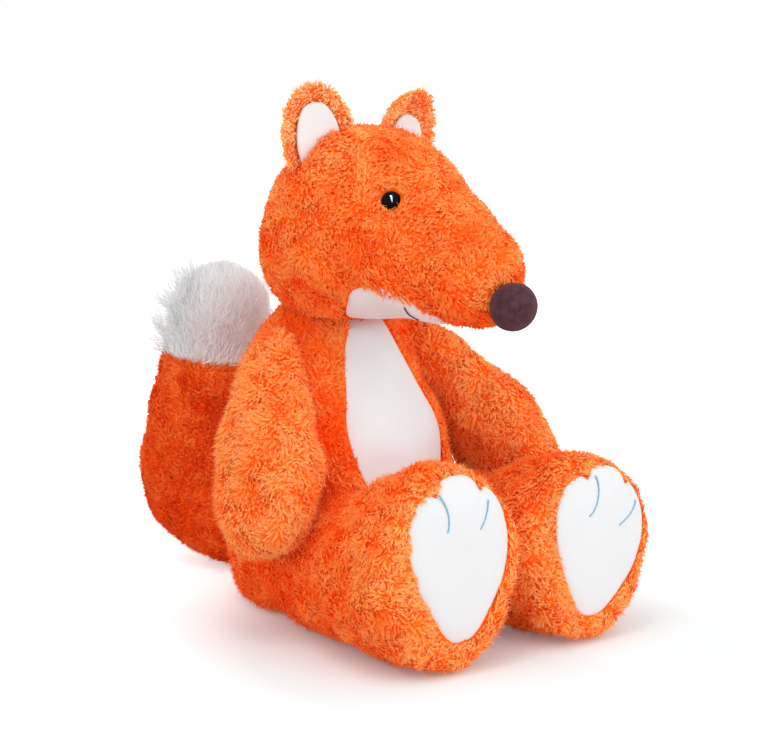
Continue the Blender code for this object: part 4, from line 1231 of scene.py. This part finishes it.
def dome(name, place, out, radius, height, sink):
    """An eye, a ball of full shoulders, flattened and sunk into the cloth."""
    turn = np.array(Vector((0, 0, 1)).rotation_difference(Vector(out)).to_matrix())
    rings = ball_rings(30, 48, 0.62) * (radius, radius, height) - (0, 0, sink)
    rings = rings @ turn.T + place
    ends = [turn @ np.array((0, 0, sign * height - sink)) + place for sign in (1, -1)]
    return lathe_mesh(name, rings, *ends)


def make_eyes():
    """The glossy black safety eyes."""
    gloss, tree, shader = new_material("black_gloss", 0.06, shine=0.05)
    shader.inputs["Base Color"].default_value = (0.004, 0.003, 0.006, 1)
    worn = ramp(tree, ((0.3, (0.03, 0.03, 0.03)), (0.8, (0.06, 0.06, 0.06))))
    tree.links.new(noise(tree, 300.0), worn.inputs["Fac"])
    tree.links.new(worn.outputs["Color"], shader.inputs["Roughness"])
    for side_name, (place, out) in eye_places().items():
        eye = dome(f"eye_bead_{side_name}", place, out, EYE_RADIUS, EYE_HEIGHT, EYE_SINK)
        dressed(eye, "head", "eye_plastic", gloss, f"eye_{side_name}")


def make_nose():
    """The nose, a velour ball: an ellipsoid with a slight dimpling where it is stuffed."""
    velour, tree, shader = new_material("brown_velour", 0.9, 0.12, (0.75, 0.55, 0.6, 1), shine=0.1)
    shades = ((0.3, (0.05, 0.018, 0.024)), (0.7, (0.095, 0.04, 0.048)))
    coloured(tree, shader, noise(tree, 260.0, 4.0), shades)
    bumped(tree, shader, noise(tree, 1600.0), 0.5, 0.3 * MM)
    low, high = (np.array(corner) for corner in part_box("nose"))
    half = np.array(NOSE_HALF_SIZES)
    middle = np.array((0, low[1] + half[1], (low[2] + high[2]) / 2))
    rows, columns = 70, 96
    rings = ball_rings(rows, columns)[..., [0, 2, 1]] * (1, -1, 1)
    relief = 1 + 0.012 * wobble(rings.reshape(-1, 3) * half, 12 * MM, 71).reshape(rows, columns, 1)
    rings = rings * half * relief + middle
    ends = [middle + (0, sign * half[1], 0) for sign in (-1, 1)]
    dressed(lathe_mesh("nose_ball", rings, *ends), "head", "nose_velour", velour, "nose")


def thread_tube(name, path, radius):
    """A line of stitches: a twisted round tube along a path, thin where each stitch ends.

    The radius at share s and angle a is r (0.55 + 0.45 |sin(pi n s)|^0.5) (1 + 0.15 cos(2 a - k s)).
    """
    rows, columns = 90, 10
    share = np.linspace(0, 1, rows)
    known = np.linspace(0, 1, len(path))
    middle = np.stack([np.interp(share, known, path[:, i]) for i in range(3)], axis=1)
    ahead = unit(np.gradient(middle, axis=0))
    side = unit(np.cross(ahead, (0.0, 0.0, 1.0)))
    up = np.cross(side, ahead)
    length = np.linalg.norm(np.diff(middle, axis=0), axis=1).sum()
    stitches = max(2, round(length / (3.2 * MM)))
    thin = 0.55 + 0.45 * np.abs(np.sin(math.pi * stitches * share)) ** 0.5
    angle = np.arange(columns) * 2 * math.pi / columns
    twist = 1 + 0.15 * np.cos(2 * angle[None] - share[:, None] * length / (1.2 * MM) * 2 * math.pi)
    swell = radius * thin[:, None] * twist
    rings = (
        middle[:, None]
        + side[:, None] * (swell * np.cos(angle)[None])[..., None]
        + up[:, None] * (swell * np.sin(angle)[None])[..., None]
    )
    return lathe_mesh(name, rings, middle[0], middle[-1])


def thread_material(name, low, high):
    """Embroidery thread: two shades along a fine diagonal wave, slightly shiny."""
    made, tree, shader = new_material(name, 0.5, 0.3, (*high, 1))
    source = put_node(tree, "TexCoord").outputs["Object"]
    wave = put_node(tree, "TexWave", scale=900.0, vector=source)
    wave.bands_direction = "DIAGONAL"
    coloured(tree, shader, wave.outputs["Fac"], ((0.2, low), (0.8, high)))
    return made


def make_threads():
    """The light blue toe lines and the dark mouth lines."""
    light = thread_material("light_blue_thread", (0.14, 0.34, 0.50), (0.26, 0.50, 0.66))
    dark = thread_material("slate_blue_thread", (0.02, 0.035, 0.06), (0.06, 0.09, 0.14))
    share = np.linspace(0, 1, 24)
    for side_name, side in SIDES:
        for number, shares in enumerate(TOE_LINE_SHARES[side], 1):
            cubic = np.polyfit(np.linspace(0, 1, len(shares)), shares, len(shares) - 1)
            line = np.stack([np.polyval(cubic[:, axis], share) for axis in (0, 1)], axis=1)
            line = rolled(line * sole_size(side) + (0, sole_middle(side)), side)
            path = foot_front(side, line[:, 0], line[:, 1])
            path[:, 1] -= TOE_LIFT
            name = f"toe_stitch_{side_name}_{number}"
            line = thread_tube(f"toe_line_{side_name}_{number}", path, TOE_THREAD_RADIUS)
            dressed(line, f"leg_{side_name}", "blue_thread", light, name)
        across = side * (MOUTH_OUT + (MOUTH_IN - MOUTH_OUT) * share)
        station = NECK[1] - MOUTH_STATION + MOUTH_SLANT * share
        station = station + MOUTH_BOW * np.sin(share * math.pi)
        path = under_jaw(across, station)
        line = thread_tube(f"mouth_line_{side_name}", path, MOUTH_THREAD_RADIUS)
        dressed(line, "head", "blue_thread", dark, f"mouth_stitch_{side_name}")


def under_jaw(across, station):
    """Points on the underside of the head, found as the nearest of a dense grid of its lower half."""
    surface, last = HEAD
    v, u = grid(np.linspace(2.5, last - 1, 400), np.linspace(math.pi, 2 * math.pi, 400))
    points, _, normals = surface_frame(surface, u, v)
    gap = np.hypot(points[None, :, 0] - across[:, None], points[None, :, 1] - station[:, None])
    nearest = gap.argmin(axis=1)
    return points[nearest] + normals[nearest] * 0.4 * MM


def inner_materials():
    """Finishes for the CAD nodes that stay, all of them inside the covers."""
    fibre = cloth_material("white_fibre", (0.72, 0.72, 0.71), (0.9, 0.9, 0.89), 160.0)
    woven = cloth_material("grey_pouch_cloth", (0.42, 0.42, 0.40), (0.62, 0.62, 0.6), 700.0)
    moulded = cloth_material("white_washer", (0.68, 0.68, 0.66), (0.78, 0.78, 0.75), 90.0, 0.4)
    finishes = {"filling": fibre, "pouch": woven, "washer": moulded}
    for name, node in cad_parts.items():
        for word, finish in finishes.items():
            if word in name:
                node.data.materials.clear()
                node.data.materials.append(finish)


make_body()
make_head()
make_arms()
make_legs()
make_tail()
make_ears()
make_eyes()
make_nose()
make_threads()
inner_materials()


def make_stage():
    """A pale floor that keeps the fox's shadow and glows white away from it; near the fox the camera sees
    it tinted cyan, a painted offset of the orange light the fur bounces onto it.
    """
    mesh = bpy.data.meshes.new("floor")
    half = 6.0
    corners = [(-half, -half, 0), (half, -half, 0), (half, half, 0), (-half, half, 0)]
    mesh.from_pydata(corners, [], [(0, 1, 2, 3)])
    floor = bpy.data.objects.new("floor", mesh)
    bpy.context.scene.collection.objects.link(floor)
    paper, tree, shader = new_material("white_paper", 0.9)
    shader.inputs["Emission Color"].default_value = (1, 1, 1, 1)
    place = put_node(tree, "TexCoord").outputs["Object"]
    away = put_node(tree, "VectorMath", "DISTANCE", _0=place, _1=(0, -0.13, 0)).outputs["Value"]
    edges = {"from_min": 0.12, "from_max": 0.30, "to_min": 0.12, "to_max": 0.85}
    outward = put_node(tree, "MapRange", value=away, **edges).outputs["Result"]
    seen = put_node(tree, "LightPath").outputs["Is Camera Ray"]
    # Painted offset of bounce light: cyan near the fox, against the orange light the fur bounces onto the
    # floor, neutral grey farther off
    near = ramp(tree, ((0.12, (0.75, 0.84, 0.85)), (0.22, (0.86, 0.86, 0.86))))
    tree.links.new(away, near.inputs["Fac"])
    bounce_offset_tint = mixed(tree, "MIX", seen, (0.88, 0.88, 0.88), near.outputs["Color"])
    tree.links.new(bounce_offset_tint, shader.inputs["Base Color"])
    glow = put_node(tree, "Math", "MULTIPLY", _0=seen, _1=outward).outputs["Value"]
    tree.links.new(glow, shader.inputs["Emission Strength"])
    mesh.materials.append(paper)


def make_world():
    """A white background, as strong as 1 where it is seen and a little brighter from the front."""
    world = bpy.data.worlds.new("studio")
    bpy.context.scene.world = world
    world.use_nodes = True
    tree = world.node_tree
    background = tree.nodes["Background"]
    background.inputs["Color"].default_value = (1, 1, 1, 1)
    ray = put_node(tree, "TexCoord").outputs["Generated"]
    front = put_node(tree, "VectorMath", "DOT_PRODUCT", _0=ray, _1=(-0.2, -0.85, 0.48))
    edges = {"from_min": -1.0, "from_max": 1.0, "to_min": 0.62, "to_max": 1.12}
    tent = put_node(tree, "MapRange", value=front.outputs["Value"], **edges).outputs["Result"]
    rays = put_node(tree, "LightPath").outputs
    seen = put_node(tree, "Math", "MAXIMUM", _0=rays["Is Camera Ray"], _1=rays["Is Glossy Ray"])
    strength = put_node(tree, "Mix", factor=seen.outputs["Value"], a=tent, b=1.0)
    tree.links.new(strength.outputs["Result"], background.inputs["Strength"])


def softbox(name, place, target, size, power, roll_deg=0.0):
    """An oblong area lamp that looks at a target, rolled about that line."""
    data = bpy.data.lights.new(name, "AREA")
    data.shape = "RECTANGLE"
    data.size, data.size_y = size
    data.energy = power
    lamp = bpy.data.objects.new(name, data)
    bpy.context.scene.collection.objects.link(lamp)
    lamp.location = place
    lamp.rotation_euler = (Vector(target) - Vector(place)).to_track_quat("-Z", "Y").to_euler()
    lamp.rotation_euler.rotate_axis("Z", math.radians(roll_deg))
    return lamp


def make_lamps():
    """A front and an overhead softbox, and a tall window that only the glossy eyes reflect."""
    softbox("front_softbox", (0.35, -1.6, 0.55), (0, 0, 0.12), (0.9, 0.9), 6.0)
    softbox("overhead_softbox", (-0.44, -0.33, 1.4), (0, 0, 0.2), (0.4, 0.6), 3.0)
    middle, size = (-0.03, -0.08, 0.22), (0.07, 0.85)
    window = softbox("eye_window", (-0.50, -0.42, 0.93), middle, size, 45.0, 26.0)
    window.visible_diffuse = False
    shiny = bpy.data.collections.new("shiny_eyes")
    for side_name, _ in SIDES:
        shiny.objects.link(bpy.data.objects[f"eye_bead_{side_name}"])
    window.light_linking.receiver_collection = shiny


CAMERA_TARGET = Vector((0.0, -0.03, 0.12))
CAMERA_AZIMUTH_DEG = -38.9
CAMERA_ELEVATION_DEG = 9.6
CAMERA_DISTANCE = 1.15
FRAME_WIDTH, FRAME_HEIGHT = 766, 736
TARGET_PIXEL = (367, 383.5)
PIXEL_AT_TARGET = 0.522 * MM


def make_camera():
    """The camera at the photograph's viewing angle, its target on the target pixel."""
    azimuth, elevation = math.radians(CAMERA_AZIMUTH_DEG), math.radians(CAMERA_ELEVATION_DEG)
    away = Vector(
        (
            math.sin(azimuth) * math.cos(elevation),
            -math.cos(azimuth) * math.cos(elevation),
            math.sin(elevation),
        )
    )
    data = bpy.data.cameras.new("camera")
    camera = bpy.data.objects.new("camera", data)
    bpy.context.scene.collection.objects.link(camera)
    camera.location = CAMERA_TARGET + away * CAMERA_DISTANCE
    camera.rotation_euler = (-away).to_track_quat("-Z", "Y").to_euler()
    focal_pixels = CAMERA_DISTANCE / PIXEL_AT_TARGET
    data.lens = data.sensor_width * focal_pixels / FRAME_WIDTH
    data.shift_x = (FRAME_WIDTH / 2 - TARGET_PIXEL[0]) / FRAME_WIDTH
    data.shift_y = (TARGET_PIXEL[1] - FRAME_HEIGHT / 2) / FRAME_WIDTH
    bpy.context.scene.camera = camera


make_stage()
make_world()
make_lamps()
make_camera()
bpy.context.scene.view_settings.view_transform = "Standard"
bpy.context.scene.cycles.diffuse_bounces = 10
